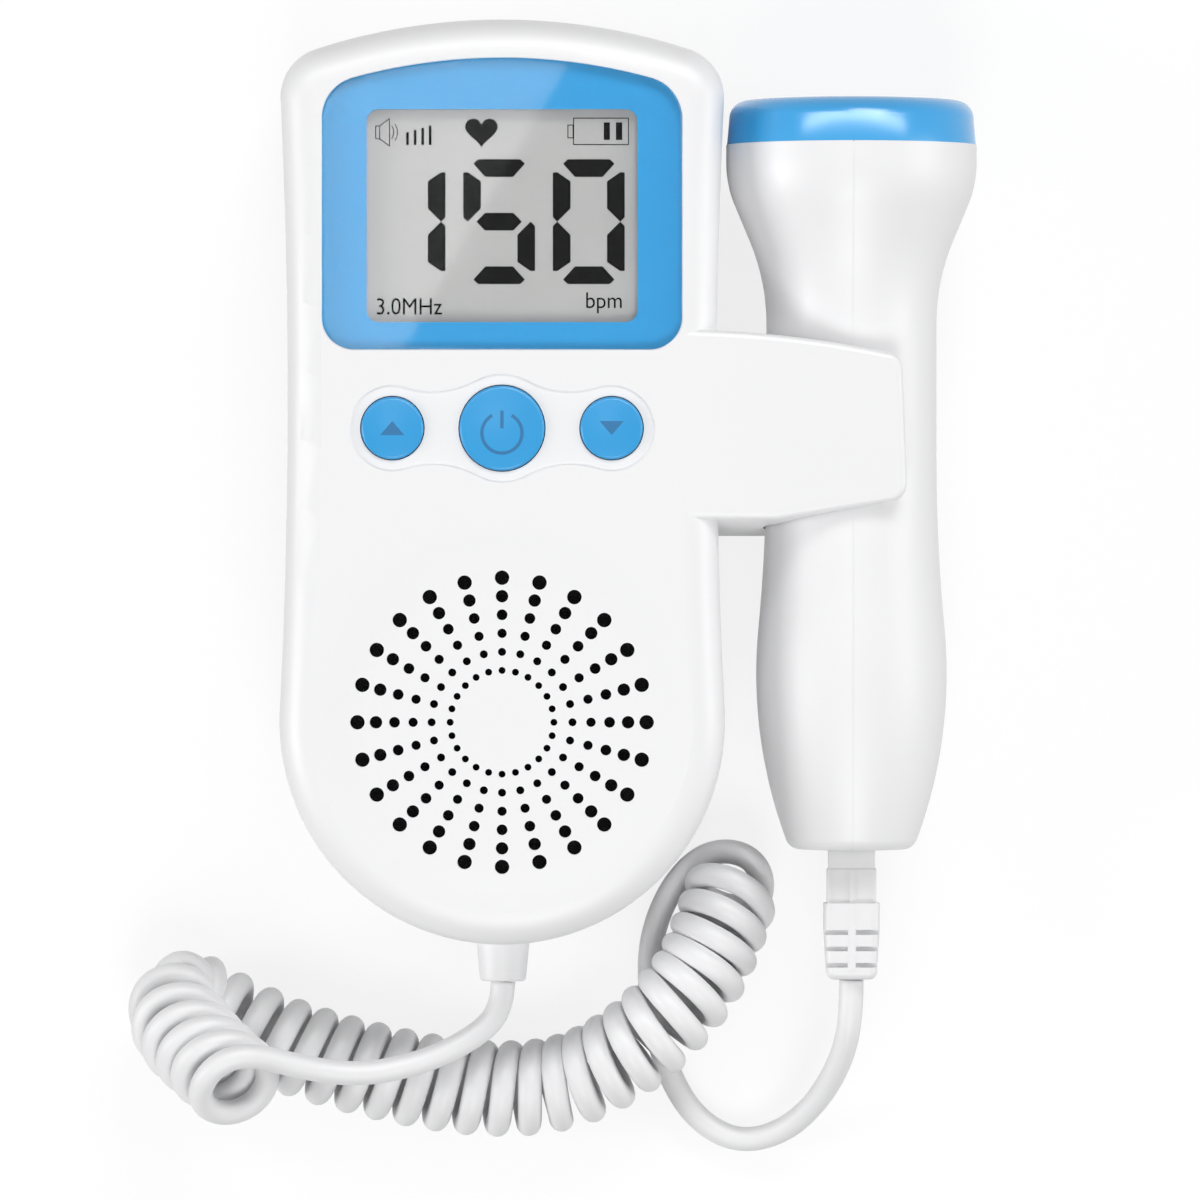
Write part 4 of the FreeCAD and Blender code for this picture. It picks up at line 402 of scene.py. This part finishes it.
zincSteel = platedMetal("zincSteel", {              # zinc on steel: bluish and soft
    "colour": "#b6babd", "roughness": 0.32, "grain": (0.4, 0.4, 0.08)})
blackSteel = platedMetal("blackSteel", {            # pressed steel with a black oxide coat
    "colour": "#5a5c5f", "roughness": 0.45, "grain": (0.5, 0.5, 0.5)})
goldContact = platedMetal("goldContact", {          # gold flash over nickel
    "colour": "#e3b563", "roughness": 0.2, "grain": (0.1, 1.0, 0.1)})

# the same blue ABS, buffed: a soft glint along the top of the cap, as its wall swells a little
polishedAbs, tree, place = startMaterial("polishedAbs")
cap = {
    "low": 49.5,                # where the cap starts, mm
    "swell": 21.0,              # the wall falls away by this times its rise squared, in metres
}
capRise = addNode(tree, "ShaderNodeSeparateXYZ", {"Vector": place}).outputs["Y"]
rise = addNode(tree, "ShaderNodeMath", {0: capRise, 1: cap["low"] * mm}, operation="SUBTRACT")
square = addNode(tree, "ShaderNodeMath", {0: rise.outputs[0], 1: rise.outputs[0]},
                 operation="MULTIPLY")
falls = addNode(tree, "ShaderNodeMath", {0: square.outputs[0], 1: -cap["swell"]},
                operation="MULTIPLY")
bump = addNode(tree, "ShaderNodeBump", {
    "Height": falls.outputs[0], "Strength": 1.0, "Distance": 1.0})
endMaterial(tree, addNode(tree, "ShaderNodeBsdfPrincipled", {
    "Base Color": linear("#1aa5ea"), "Roughness": 0.4, "IOR": 1.1,
    "Normal": bump.outputs["Normal"], "Coat Weight": 1.0, "Coat Roughness": 0.22,
    "Coat IOR": 1.7, "Coat Normal": bump.outputs["Normal"]}).outputs[0])

# cast acrylic, clear and polished: its own face mirrors little here, so that the digits stay
# dark, and the ink and the display behind it carry the glare; lamps shine through it
windowAcrylic, tree, place = startMaterial("windowAcrylic")
wave = addNode(tree, "ShaderNodeTexNoise", {
    "Vector": place, "Scale": 1 / (25 * mm), "Detail": 1.0})
bump = addNode(tree, "ShaderNodeBump", {
    "Height": wave.outputs["Fac"], "Strength": 0.02, "Distance": 0.05 * mm})
gloss = addNode(tree, "ShaderNodeMapRange", {
    "Value": wave.outputs["Fac"], "To Min": 0.0, "To Max": 0.02})
acrylic = addNode(tree, "ShaderNodeBsdfPrincipled", {
    "Base Color": linear("#e8e8e8"), "Roughness": gloss.outputs["Result"], "IOR": 1.08,
    "Transmission Weight": 1.0, "Normal": bump.outputs["Normal"]})
clear = addNode(tree, "ShaderNodeBsdfTransparent", {"Color": linear("#f3f3f3")})
path = addNode(tree, "ShaderNodeLightPath")
endMaterial(tree, addNode(tree, "ShaderNodeMixShader", {
    "Fac": path.outputs["Is Shadow Ray"], 1: acrylic.outputs[0], 2: clear.outputs[0]}).outputs[0])

# screen ink behind the window, pressed flat: sky blue, the faint grain of the mesh, sharp glare
screenInk, tree, place = startMaterial("screenInk")
meshGrain = addNode(tree, "ShaderNodeTexNoise", {
    "Vector": place, "Scale": 1 / (0.25 * mm), "Detail": 2.0})
ink = addNode(tree, "ShaderNodeMix", {
    "Factor": meshGrain.outputs["Fac"], 6: linear("#3494cf"), 7: linear("#3698d3")},
    data_type="RGBA")
endMaterial(tree, addNode(tree, "ShaderNodeBsdfPrincipled", {
    "Base Color": ink.outputs[2], "Roughness": 0.02, "IOR": 1.4}).outputs[0])

# polished display glass over its grey polariser: silver grey, finely grained, with a sharp glare
displayGlass, tree, place = startMaterial("displayGlass")
film = addNode(tree, "ShaderNodeTexNoise", {
    "Vector": place, "Scale": 1 / (0.3 * mm), "Detail": 3.0})
cast = addNode(tree, "ShaderNodeTexNoise", {
    "Vector": place, "Scale": 1 / (22 * mm), "Detail": 1.0})
grey = addNode(tree, "ShaderNodeMix", {
    "Factor": film.outputs["Fac"], 6: linear("#a9a9a8"), 7: linear("#aeaeae")}, data_type="RGBA")
shade = addNode(tree, "ShaderNodeMix", {
    "Factor": cast.outputs["Fac"], 6: grey.outputs[2], 7: linear("#b3b3b2")}, data_type="RGBA")
endMaterial(tree, addNode(tree, "ShaderNodeBsdfPrincipled", {
    "Base Color": shade.outputs[2], "Roughness": 0.02, "IOR": 1.4}).outputs[0])

# dark liquid crystal: charcoal that swallows light
darkCrystal, tree, place = startMaterial("darkCrystal")
film = addNode(tree, "ShaderNodeTexNoise", {
    "Vector": place, "Scale": 1 / (0.3 * mm), "Detail": 2.0})
black = addNode(tree, "ShaderNodeMix", {
    "Factor": film.outputs["Fac"], 6: linear("#060607"), 7: linear("#0e0e0f")}, data_type="RGBA")
endMaterial(tree, addNode(tree, "ShaderNodeBsdfPrincipled", {
    "Base Color": black.outputs[2], "Roughness": 0.6, "IOR": 1.2}).outputs[0])

# glass-fibre board under green solder resist: tracks show as paler, raised lines
boardLaminate, tree, place = startMaterial("boardLaminate")
tracks = addNode(tree, "ShaderNodeTexBrick", {
    "Vector": place, "Scale": 1 / (1 * mm), "Mortar Size": 0.12, "Mortar Smooth": 0.2,
    "Brick Width": 3.2, "Row Height": 1.27})
green = addNode(tree, "ShaderNodeMix", {
    "Factor": tracks.outputs["Fac"], 6: linear("#0f5a36"), 7: linear("#2d8a55")}, data_type="RGBA")
raised = addNode(tree, "ShaderNodeBump", {
    "Height": tracks.outputs["Fac"], "Strength": 0.4, "Distance": 0.04 * mm})
endMaterial(tree, addNode(tree, "ShaderNodeBsdfPrincipled", {
    "Base Color": green.outputs[2], "Roughness": 0.35, "IOR": 1.5,
    "Normal": raised.outputs["Normal"]}).outputs[0])

# silicone strip with carbon layers: alternate pale and black bands; the real ones are 0.1 mm
# apart, and they are drawn at 0.5 mm so that they show
zebraRubber, tree, place = startMaterial("zebraRubber")
bands = addNode(tree, "ShaderNodeTexWave", {
    "Vector": place, "Scale": waveUnit / (0.5 * mm)}, bands_direction="X")
layer = addNode(tree, "ShaderNodeMapRange", {
    "Value": bands.outputs["Fac"], "From Min": 0.4, "From Max": 0.6})
strip = addNode(tree, "ShaderNodeMix", {
    "Factor": layer.outputs["Result"], 6: linear("#161617"), 7: linear("#d7d5cf")},
    data_type="RGBA")
endMaterial(tree, addNode(tree, "ShaderNodeBsdfPrincipled", {
    "Base Color": strip.outputs[2], "Roughness": 0.7, "IOR": 1.42}).outputs[0])

# shrunk PVC sleeve on a steel can: charcoal body and a copper-coloured end, faintly crinkled
batteryWrap, tree, place = startMaterial("batteryWrap")
cell = {"high": 56.0, "copper": 12.5}      # the sleeve's upper end and its copper part, mm
along = addNode(tree, "ShaderNodeSeparateXYZ", {"Vector": place}).outputs["Y"]
copper = addNode(tree, "ShaderNodeMath", {
    0: along, 1: (cell["high"] - cell["copper"]) * mm}, operation="GREATER_THAN")
sleeve = addNode(tree, "ShaderNodeMix", {
    "Factor": copper.outputs[0], 6: linear("#232428"), 7: linear("#b9733c")}, data_type="RGBA")
crinkle = addNode(tree, "ShaderNodeTexNoise", {
    "Vector": place, "Scale": 1 / (3 * mm), "Detail": 2.0})
bump = addNode(tree, "ShaderNodeBump", {
    "Height": crinkle.outputs["Fac"], "Strength": 0.1, "Distance": 0.05 * mm})
endMaterial(tree, addNode(tree, "ShaderNodeBsdfPrincipled", {
    "Base Color": sleeve.outputs[2], "Roughness": 0.25, "IOR": 1.52,
    "Normal": bump.outputs["Normal"]}).outputs[0])

# woven polyester dust cloth: black and dull; its threads are finer than half a millimetre, and
# they are drawn that far apart so that they show
speakerCloth, tree, place = startMaterial("speakerCloth")
warp, weft = (
    addNode(tree, "ShaderNodeTexWave", {
        "Vector": place, "Scale": waveUnit / (0.5 * mm)}, bands_direction=way)
    for way in "XY")
weave = addNode(tree, "ShaderNodeMath", {0: warp.outputs["Fac"], 1: weft.outputs["Fac"]},
                operation="MULTIPLY")
thread = addNode(tree, "ShaderNodeMix", {
    "Factor": weave.outputs[0], 6: linear("#040404"), 7: linear("#0e0e0f")}, data_type="RGBA")
bump = addNode(tree, "ShaderNodeBump", {
    "Height": weave.outputs[0], "Strength": 0.6, "Distance": 0.1 * mm})
endMaterial(tree, addNode(tree, "ShaderNodeBsdfPrincipled", {
    "Base Color": thread.outputs[2], "Roughness": 0.95, "IOR": 1.4,
    "Normal": bump.outputs["Normal"]}).outputs[0])
print("materials made:", len(bpy.data.materials))

# finishes of the carried-over solids

finishes = (
    (whiteAbs, ("front_shell", "rear_shell", "battery_door", "probe_left_shell",
                "probe_right_shell")),
    (blueAbs, ("power_button", "up_button", "down_button")),
    (polishedAbs, ("probe_cap",)),
    (windowAcrylic, ("display_window",)),
    (screenInk, ("window_mask",)),
    (displayGlass, ("lcd_glass",)),
    (whiteFrame, ("lcd_holder",)),
    (lightGuide, ("lcd_backlight",)),
    (zebraRubber, ("zebra_strip",)),
    (boardLaminate, ("main_board", "probe_board")),
    (chipEpoxy, ("board_chips", "probe_board_chips")),
    (switchNylon, ("tact_switches",)),
    (whiteAcetal, ("power_switch_stem", "up_switch_stem", "down_switch_stem")),
    (batteryWrap, ("battery_left", "battery_right")),
    (nickelPlate, ("battery_plates", "battery_springs")),
    (zincSteel, ("housing_screws", "board_screws")),
    (speakerPaper, ("speaker_cone",)),
    (speakerCloth, ("speaker_cloth",)),
    (blackFoam, ("speaker_gasket",)),
    (blackSteel, ("speaker_frame",)),
    (ferrite, ("speaker_magnet",)),
    (jackPlastic, ("headphone_jack", "probe_socket")),
    (softPvc, ("strain_relief", "inner_cord", "plug_boot")),
    (redWire, ("speaker_leads", "crystal_leads")),
    (clearEpoxy, ("coupling_layer",)),
    (firedCeramic, ("piezo_crystals",)),
    (filledEpoxy, ("backing_block",)),
    (plugPolycarbonate, ("plug_body", "plug_latch")),
    (goldContact, ("plug_contacts",)),
)
dressed = 0
for material, nodes in finishes:
    for node in nodes:
        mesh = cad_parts[node].data
        mesh.materials.clear()
        mesh.materials.append(material)
        dressed += 1
print("finishes on", dressed, "of", len(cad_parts), "solids")

# cord piece

line = cordLine()
cordPiece = addPiece("cord", tubeMesh("cord", line, cord["diameter"] / 2 * mm, cord["sides"]),
                     softPvc)
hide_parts("cord_lead_body", "cord_coil", "cord_lead_probe")
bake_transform(cordPiece)

# what the display shows


def plateMesh(name, outlines, top, thick):
    # flat shapes, in mm, as thin plates that share one top
    plates = bmesh.new()
    for outline in outlines:
        upper = [plates.verts.new((x * mm, y * mm, top * mm)) for x, y in outline]
        lower = [plates.verts.new((x * mm, y * mm, (top - thick) * mm)) for x, y in outline]
        plates.faces.new(upper)
        plates.faces.new(list(reversed(lower)))
        for a, b, c, d in zip(upper, upper[1:] + upper[:1], lower[1:] + lower[:1], lower):
            plates.faces.new((b, a, d, c))
    bmesh.ops.recalc_face_normals(plates, faces=plates.faces)
    mesh = bpy.data.meshes.new(name)
    plates.to_mesh(mesh)
    plates.free()
    return mesh


def shifted(outline, x, y):
    return [(a + x, b + y) for a, b in outline]


def strokeOf(spots, width):
    # the outline of a line of the given width through the spots
    left, right = [], []
    for index, spot in enumerate(spots):
        before = Vector(spots[max(0, index - 1)])
        after = Vector(spots[min(len(spots) - 1, index + 1)])
        across = (after - before).normalized().orthogonal() * width / 2
        left.append(tuple(Vector(spot) + across))
        right.append(tuple(Vector(spot) - across))
    return left + right[::-1]


def arcSpots(centre, radius, start, end, steps):
    # points on an arc, its ends in degrees
    angles = [math.radians(start + (end - start) * k / steps) for k in range(steps + 1)]
    return [(centre[0] + radius * math.cos(angle), centre[1] + radius * math.sin(angle))
            for angle in angles]


display = {
    "level": 31.94,             # just above the display glass
    "thick": 0.03,
    "digitWidth": 10.47, "digitHeight": 18.19, "digitPitch": 13.06,
    "stroke": 2.575,            # thickness of a segment
    "chamfer": 0.65,            # outer corners of a digit
    "gap": 0.4949,              # between neighbouring segments, along x
    "digitLeft": 7.39, "digitTop": 47.03,       # upper left corner of the last digit
    "reading": "150",
}
# segments by letter, clockwise from the top, with g across the middle
digitSegments = {"1": "bc", "5": "afgcd", "0": "abcdef"}


def segmentOutlines():
    # the seven segments of a digit, from its upper left corner
    width, high, thick = display["digitWidth"], display["digitHeight"], display["stroke"]
    corner, gap, half = display["chamfer"], display["gap"], display["digitHeight"] / 2
    tip = corner * 1.9          # how far in a slanted end reaches
    start = corner * 2.6 + gap  # where the top's outer edge starts
    inner = thick + gap * 1.3   # where its inner edge starts
    waist = thick + gap * 1.2   # where the middle's edges start
    notch = thick * 0.75        # where its pointed ends start
    top = [(tip + gap / 2, -corner), (start, 0), (width - start, 0),
           (width - tip - gap / 2, -corner), (width - inner, -thick), (inner, -thick)]
    upperLeft = [(corner, -corner - tip), (thick, -inner), (thick, notch - half),
                 (corner, -half), (0, corner - half), (0, -corner * 3)]
    middle = [(notch, -half), (waist, thick / 2 - half), (width - waist, thick / 2 - half),
              (width - notch, -half), (width - waist, -half - thick / 2),
              (waist, -half - thick / 2)]

    def acrossX(outline):
        return [(width - x, y) for x, y in outline]

    def acrossY(outline):
        return [(x, -high - y) for x, y in outline]

    return {"a": top, "f": upperLeft, "b": acrossX(upperLeft), "e": acrossY(upperLeft),
            "c": acrossX(acrossY(upperLeft)), "d": acrossY(top), "g": middle}


def boxOutline(left, low, right, high):
    return [(left, low), (right, low), (right, high), (left, high)]


def frameOutlines(left, low, right, high, width):
    # four bars round a box
    return [boxOutline(left, low, right, low + width),
            boxOutline(left, high - width, right, high),
            boxOutline(left, low + width, left + width, high - width),
            boxOutline(right - width, low + width, right, high - width)]


# the small signs above the digits, in mm; a box is its left, foot, right and top
signs = {
    "line": 0.13,               # thickness of a drawn line
    "battery": (10.35, 49.11, 18.47, 53.09),
    "nub": (9.52, 50.08, 10.40, 52.07),
    "charge": ((14.81, 49.85, 15.70, 52.40), (16.58, 49.85, 17.50, 52.40)),
    "bars": ((-13.99, 50.96), (-12.88, 51.29), (-11.77, 51.60), (-10.69, 51.93)),  # left and top
    "barFoot": 49.11, "barWidth": 0.39,
    "coil": (-18.50, 49.94, -17.77, 51.93),
    "cone": (((-17.81, 51.90), (-16.37, 53.0)), ((-17.81, 49.97), (-16.37, 48.92)),
             ((-16.41, 53.0), (-16.41, 48.92))),
    "soundFrom": (-17.3, 50.96),
    "waves": ((1.5, 38, 10), (2.04, 36, 12)),       # radius, half the angle, and steps
    "heart": (-3.02, 51.19), "heartHalf": 2.38, "heartScale": 0.1475, "heartSpots": 48,
}


def heartOutline():
    # two lobes drawn down to a point
    outline = []
    for k in range(signs["heartSpots"]):
        turn = 2 * math.pi * k / signs["heartSpots"]
        rise = (13 * math.cos(turn) - 5 * math.cos(2 * turn) - 2 * math.cos(3 * turn)
                - math.cos(4 * turn))
        outline.append((signs["heart"][0] + signs["heartHalf"] * math.sin(turn) ** 3,
                        signs["heart"][1] + signs["heartScale"] * rise))
    return outline


segments = segmentOutlines()
marks = []
for number, digit in enumerate(display["reading"]):
    x = display["digitLeft"] - (len(display["reading"]) - 1 - number) * display["digitPitch"]
    marks += [shifted(segments[letter], x, display["digitTop"]) for letter in digitSegments[digit]]
# battery with two bars of charge, four rising bars of sound, a loudspeaker and a heart
marks += frameOutlines(*signs["battery"], signs["line"])
marks += frameOutlines(*signs["nub"], signs["line"])
marks += [boxOutline(*box) for box in signs["charge"]]
marks += [boxOutline(x, signs["barFoot"], x + signs["barWidth"], high)
          for x, high in signs["bars"]]
marks += frameOutlines(*signs["coil"], signs["line"])
marks += [strokeOf(ends, signs["line"]) for ends in signs["cone"]]
marks += [strokeOf(arcSpots(signs["soundFrom"], radius, -half, half, steps), signs["line"])
          for radius, half, steps in signs["waves"]]
marks.append(heartOutline())
marksMesh = plateMesh("displayMarks", marks, display["level"], display["thick"])
marksPiece = addPiece("displayMarks", marksMesh, darkCrystal)
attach(marksPiece, "housing")

words = (
    # what it says, then its left, foot, right and top in mm
    ("frequencyText", "3.0MHz", (-18.28, 24.38, -8.75, 26.80)),
    ("rateText", "bpm", (12.24, 24.58, 17.44, 27.62)),
)
for name, text, (left, low, right, high) in words:
    curve = bpy.data.curves.new(name, "FONT")
    curve.body = text
    curve.extrude = 0.01        # any thickness: the letters are stretched to their box below
    holder = bpy.data.objects.new(name, curve)
    mesh = bpy.data.meshes.new_from_object(holder)
    bpy.data.objects.remove(holder)
    box = [(left, right), (low, high), (display["level"] - display["thick"], display["level"])]
    spots = [vertex.co for vertex in mesh.vertices]
    span = [(min(s[k] for s in spots), max(s[k] for s in spots)) for k in range(3)]
    for vertex in mesh.vertices:
        vertex.co = [
            (start + (value - first) / (last - first) * (end - start)) * mm
            for value, (first, last), (start, end) in zip(vertex.co, span, box)]
    mesh.name = name
    mesh.materials.clear()
    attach(addPiece(name, mesh, darkCrystal), "housing")
print("display shows", len(marks), "marks and", len(words), "words")

# symbols on the buttons

buttons = {
    "line": 7.8, "pitch": 15.95,            # height of the row, and the step to either side
    "arrowHalf": 1.76, "arrowHigh": 2.05,
    "stroke": 0.48,                         # thickness of the power symbol's lines
    "ring": 2.92, "ringDrop": -0.72,        # its ring's radius, and its middle below the row
    "opening": 29, "ringSteps": 56,         # half of the ring's gap, in degrees
    "bar": (-0.05, 2.55),                   # its bar's ends above the row
    "proud": 0.012, "sunk": 0.05,           # the print's height above the button, and below
    "cutOver": 0.9, "cuts": 3,              # edges longer than this are cut so often
    "above": 60,                            # the button's surface is looked for from here
}


def onTop(node, piece):
    # lays the piece's upper side on the node's surface and its lower side just under it
    skin = BVHTree.FromObject(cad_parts[node], bpy.context.evaluated_depsgraph_get())
    down = Vector((0, 0, -1))
    for vertex in piece.data.vertices:
        start = Vector((vertex.co.x, vertex.co.y, buttons["above"] * mm))
        lift = buttons["proud"] if vertex.co.z > 0.5 * mm else -buttons["sunk"]
        vertex.co.z = skin.ray_cast(start, down)[0].z + lift * mm


def symbolPiece(name, node, outlines):
    # each outline becomes a thin plate, cut finely enough to follow the crown of the button
    mesh = plateMesh(name, outlines, 1.0, 1.0)
    cutter = bmesh.new()
    cutter.from_mesh(mesh)
    bmesh.ops.triangulate(cutter, faces=cutter.faces)
    longEdges = [edge for edge in cutter.edges if edge.calc_length() > buttons["cutOver"] * mm]
    bmesh.ops.subdivide_edges(cutter, edges=longEdges, cuts=buttons["cuts"], use_grid_fill=True)
    cutter.to_mesh(mesh)
    cutter.free()
    piece = addPiece(name, mesh, symbolInk)
    onTop(node, piece)
    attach(piece, node)


ring = arcSpots((0, buttons["line"] + buttons["ringDrop"]), buttons["ring"],
                90 + buttons["opening"], 450 - buttons["opening"], buttons["ringSteps"])
barLow, barHigh = (buttons["line"] + value for value in buttons["bar"])
symbolPiece("powerSymbol", "power_button", [
    strokeOf(ring, buttons["stroke"]),
    boxOutline(-buttons["stroke"] / 2, barLow, buttons["stroke"] / 2, barHigh)])
half, high = buttons["arrowHalf"], buttons["arrowHigh"]
# side of the row that the button is on, and the way that its arrow points
arrows = (("upSymbol", "up_button", -1, 1), ("downSymbol", "down_button", 1, -1))
for name, node, side, point in arrows:
    x, y = side * buttons["pitch"], buttons["line"]
    symbolPiece(name, node, [[(x - half, y - point * high / 2), (x + half, y - point * high / 2),
                              (x, y + point * high / 2)]])
print("buttons marked")

# tongue that closes the seam between the probe's halves

seam = {
    "left": 51.02, "right": 51.23,          # the groove that it fills
    "low": -53.9, "high": 49.5, "step": 0.5,
    "sunk": 0.07, "thick": 0.5,             # below the probe's skin, and from there on down
    "beside": 51.0, "axis": 18.8,           # the skin is read just beside the groove, by rays
    "far": 40,                              # that start this far above and below the axis
}
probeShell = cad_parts["probe_left_shell"]
skin = BVHTree.FromObject(probeShell, bpy.context.evaluated_depsgraph_get())
tongue = bmesh.new()
count = round((seam["high"] - seam["low"]) / seam["step"])
for face in (1, -1):
    rows = []
    for k in range(count + 1):
        y = seam["low"] + (seam["high"] - seam["low"]) * k / count
        start = Vector((seam["beside"], y, seam["axis"] + face * seam["far"])) * mm
        hit = skin.ray_cast(start, Vector((0, 0, -face)))[0]
        if hit is None:
            continue
        top = hit.z - face * seam["sunk"] * mm
        low = top - face * seam["thick"] * mm
        rows.append([tongue.verts.new((x * mm, y * mm, z)) for x, z in (
            (seam["left"], top), (seam["right"], top), (seam["right"], low), (seam["left"], low))])
    for a, b in zip(rows, rows[1:]):
        for k in range(4):
            tongue.faces.new((a[k], a[(k + 1) % 4], b[(k + 1) % 4], b[k]))
    tongue.faces.new(rows[0])
    tongue.faces.new(rows[-1])
bmesh.ops.recalc_face_normals(tongue, faces=tongue.faces)
tongueMesh = bpy.data.meshes.new("probeTongue")
tongue.to_mesh(tongueMesh)
tongue.free()
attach(addPiece("probeTongue", tongueMesh, whiteAbs), "probe")
print("seam closed with", len(rows), "sections a side")

# floor and light


def roomRays(tree):
    # 1 for rays from the camera, and for those that a shiny or clear surface sends on, until a
    # matt surface has scattered them
    path = addNode(tree, "ShaderNodeLightPath")
    first = addNode(tree, "ShaderNodeMath", {
        0: path.outputs["Is Camera Ray"], 1: path.outputs["Is Glossy Ray"]}, operation="MAXIMUM")
    both = addNode(tree, "ShaderNodeMath", {
        0: first.outputs[0], 1: path.outputs["Is Transmission Ray"]}, operation="MAXIMUM")
    direct = addNode(tree, "ShaderNodeMath", {
        0: path.outputs["Diffuse Depth"], 1: 0.5}, operation="LESS_THAN")
    return addNode(tree, "ShaderNodeMath", {
        0: both.outputs[0], 1: direct.outputs[0]}, operation="MULTIPLY").outputs[0]


floorTile = {
    "size": 6.0, "drop": 0.3,               # metres across, and mm below the object
    "colour": "#a8a8a8", "seen": "#7c7c7c",         # to the lamps' light, and to the eye
    "glow": 0.82, "farGlow": 1.0,           # near the middle, and where the lamps have faded
    "near": 0.25, "far": 1.1,               # metres from the middle between which it rises
}
floorMesh = bpy.data.meshes.new("floor")
half = floorTile["size"] / 2
floorMesh.from_pydata([(-half, -half, 0), (half, -half, 0), (half, half, 0), (-half, half, 0)],
                      [], [(0, 1, 2, 3)])
floor = bpy.data.objects.new("floor", floorMesh)
floor.location.z = -floorTile["drop"] * mm
scene.collection.objects.link(floor)
# matt paper floor: pale to the eye, and dim enough that it throws little light up
floorPaper, tree, place = startMaterial("floorPaper")
paper = addNode(tree, "ShaderNodeBsdfDiffuse", {"Color": linear(floorTile["colour"])})
seen = addNode(tree, "ShaderNodeBsdfDiffuse", {"Color": linear(floorTile["seen"])})
away = addNode(tree, "ShaderNodeVectorMath", {0: place}, operation="LENGTH")
lift = addNode(tree, "ShaderNodeMapRange", {
    "Value": away.outputs["Value"], "From Min": floorTile["near"], "From Max": floorTile["far"],
    "To Min": floorTile["glow"], "To Max": floorTile["farGlow"]})
glow = addNode(tree, "ShaderNodeEmission", {
    "Color": (1, 1, 1, 1), "Strength": lift.outputs["Result"]})
lifted = addNode(tree, "ShaderNodeAddShader", {0: seen.outputs[0], 1: glow.outputs[0]})
endMaterial(tree, addNode(tree, "ShaderNodeMixShader", {
    "Fac": roomRays(tree), 1: paper.outputs[0], 2: lifted.outputs[0]}).outputs[0])
floorMesh.materials.append(floorPaper)

studio = {
    "sky": 0.25,                # light from all round
    "aim": (0.014, -0.017, 0.02),           # what the soft boxes face, in metres
    # direction from the object, distance, size in metres and power in watts of each soft box
    "boxes": {
        "keyBox": ((0.05, -0.6, 0.8), 1.2, (0.5, 0.5), 5.0),
        "leftBox": ((-0.92, -0.1, 0.36), 1.2, (0.4, 0.6), 6.0),
        "rightBox": ((0.92, 0.05, 0.36), 1.2, (0.4, 0.6), 3.6),
        "backBox": ((0.25, 0.72, 0.65), 1.2, (0.6, 0.4), 5.0),
    },
    # a strip overhead that gives the shiny cap its glint and lights nothing matt
    "strip": {"place": (0.12, 0.69, 1.03), "size": (2.4, 0.24), "power": 17.0},
    # a card overhead for the window's glare, with the two ends of its slanting right edge: it
    # shows in shiny faces and lights nothing matt
    "card": {"edge": ((6.71, 109.8), (-32.2, 42.1)), "height": 1035, "length": 170,
             "width": 110, "power": 0.29},
}
world = bpy.data.worlds.new("studio")
scene.world = world
world.use_nodes = True
tree = world.node_tree
tree.nodes.clear()
dim = addNode(tree, "ShaderNodeBackground", {"Color": (1, 1, 1, 1), "Strength": studio["sky"]})
plain = addNode(tree, "ShaderNodeBackground", {"Color": (1, 1, 1, 1), "Strength": 1.0})
both = addNode(tree, "ShaderNodeMixShader", {
    "Fac": roomRays(tree), 1: dim.outputs[0], 2: plain.outputs[0]})
addNode(tree, "ShaderNodeOutputWorld", {"Surface": both.outputs[0]})


def softBox(name, place, turn, size, power):
    lamp = bpy.data.lights.new(name, "AREA")
    lamp.shape = "RECTANGLE"
    lamp.size, lamp.size_y = size
    lamp.energy = power
    box = bpy.data.objects.new(name, lamp)
    box.location = place
    box.rotation_euler = turn
    box.visible_camera = False
    scene.collection.objects.link(box)
    return box


for name, (direction, distance, size, power) in studio["boxes"].items():
    away = Vector(direction).normalized() * distance
    turn = (-away).to_track_quat("-Z", "Y").to_euler()
    softBox(name, Vector(studio["aim"]) + away, turn, size, power)
card = studio["card"]
a, b = (Vector(spot) for spot in card["edge"])
edge = (a - b).normalized()
centre = (a + b) / 2 + Vector((-edge.y, edge.x)) * card["width"] / 2
glare = softBox("windowCard", Vector((*centre, card["height"])) * mm,
                (0, 0, math.atan2(edge.y, edge.x)), (card["length"] * mm, card["width"] * mm),
                card["power"])
glare.visible_diffuse = False
light = studio["strip"]
glint = softBox("glintStrip", light["place"], (0, 0, 0), light["size"], light["power"])
glint.visible_diffuse = glint.visible_transmission = False
print("lights:", len(bpy.data.lights))
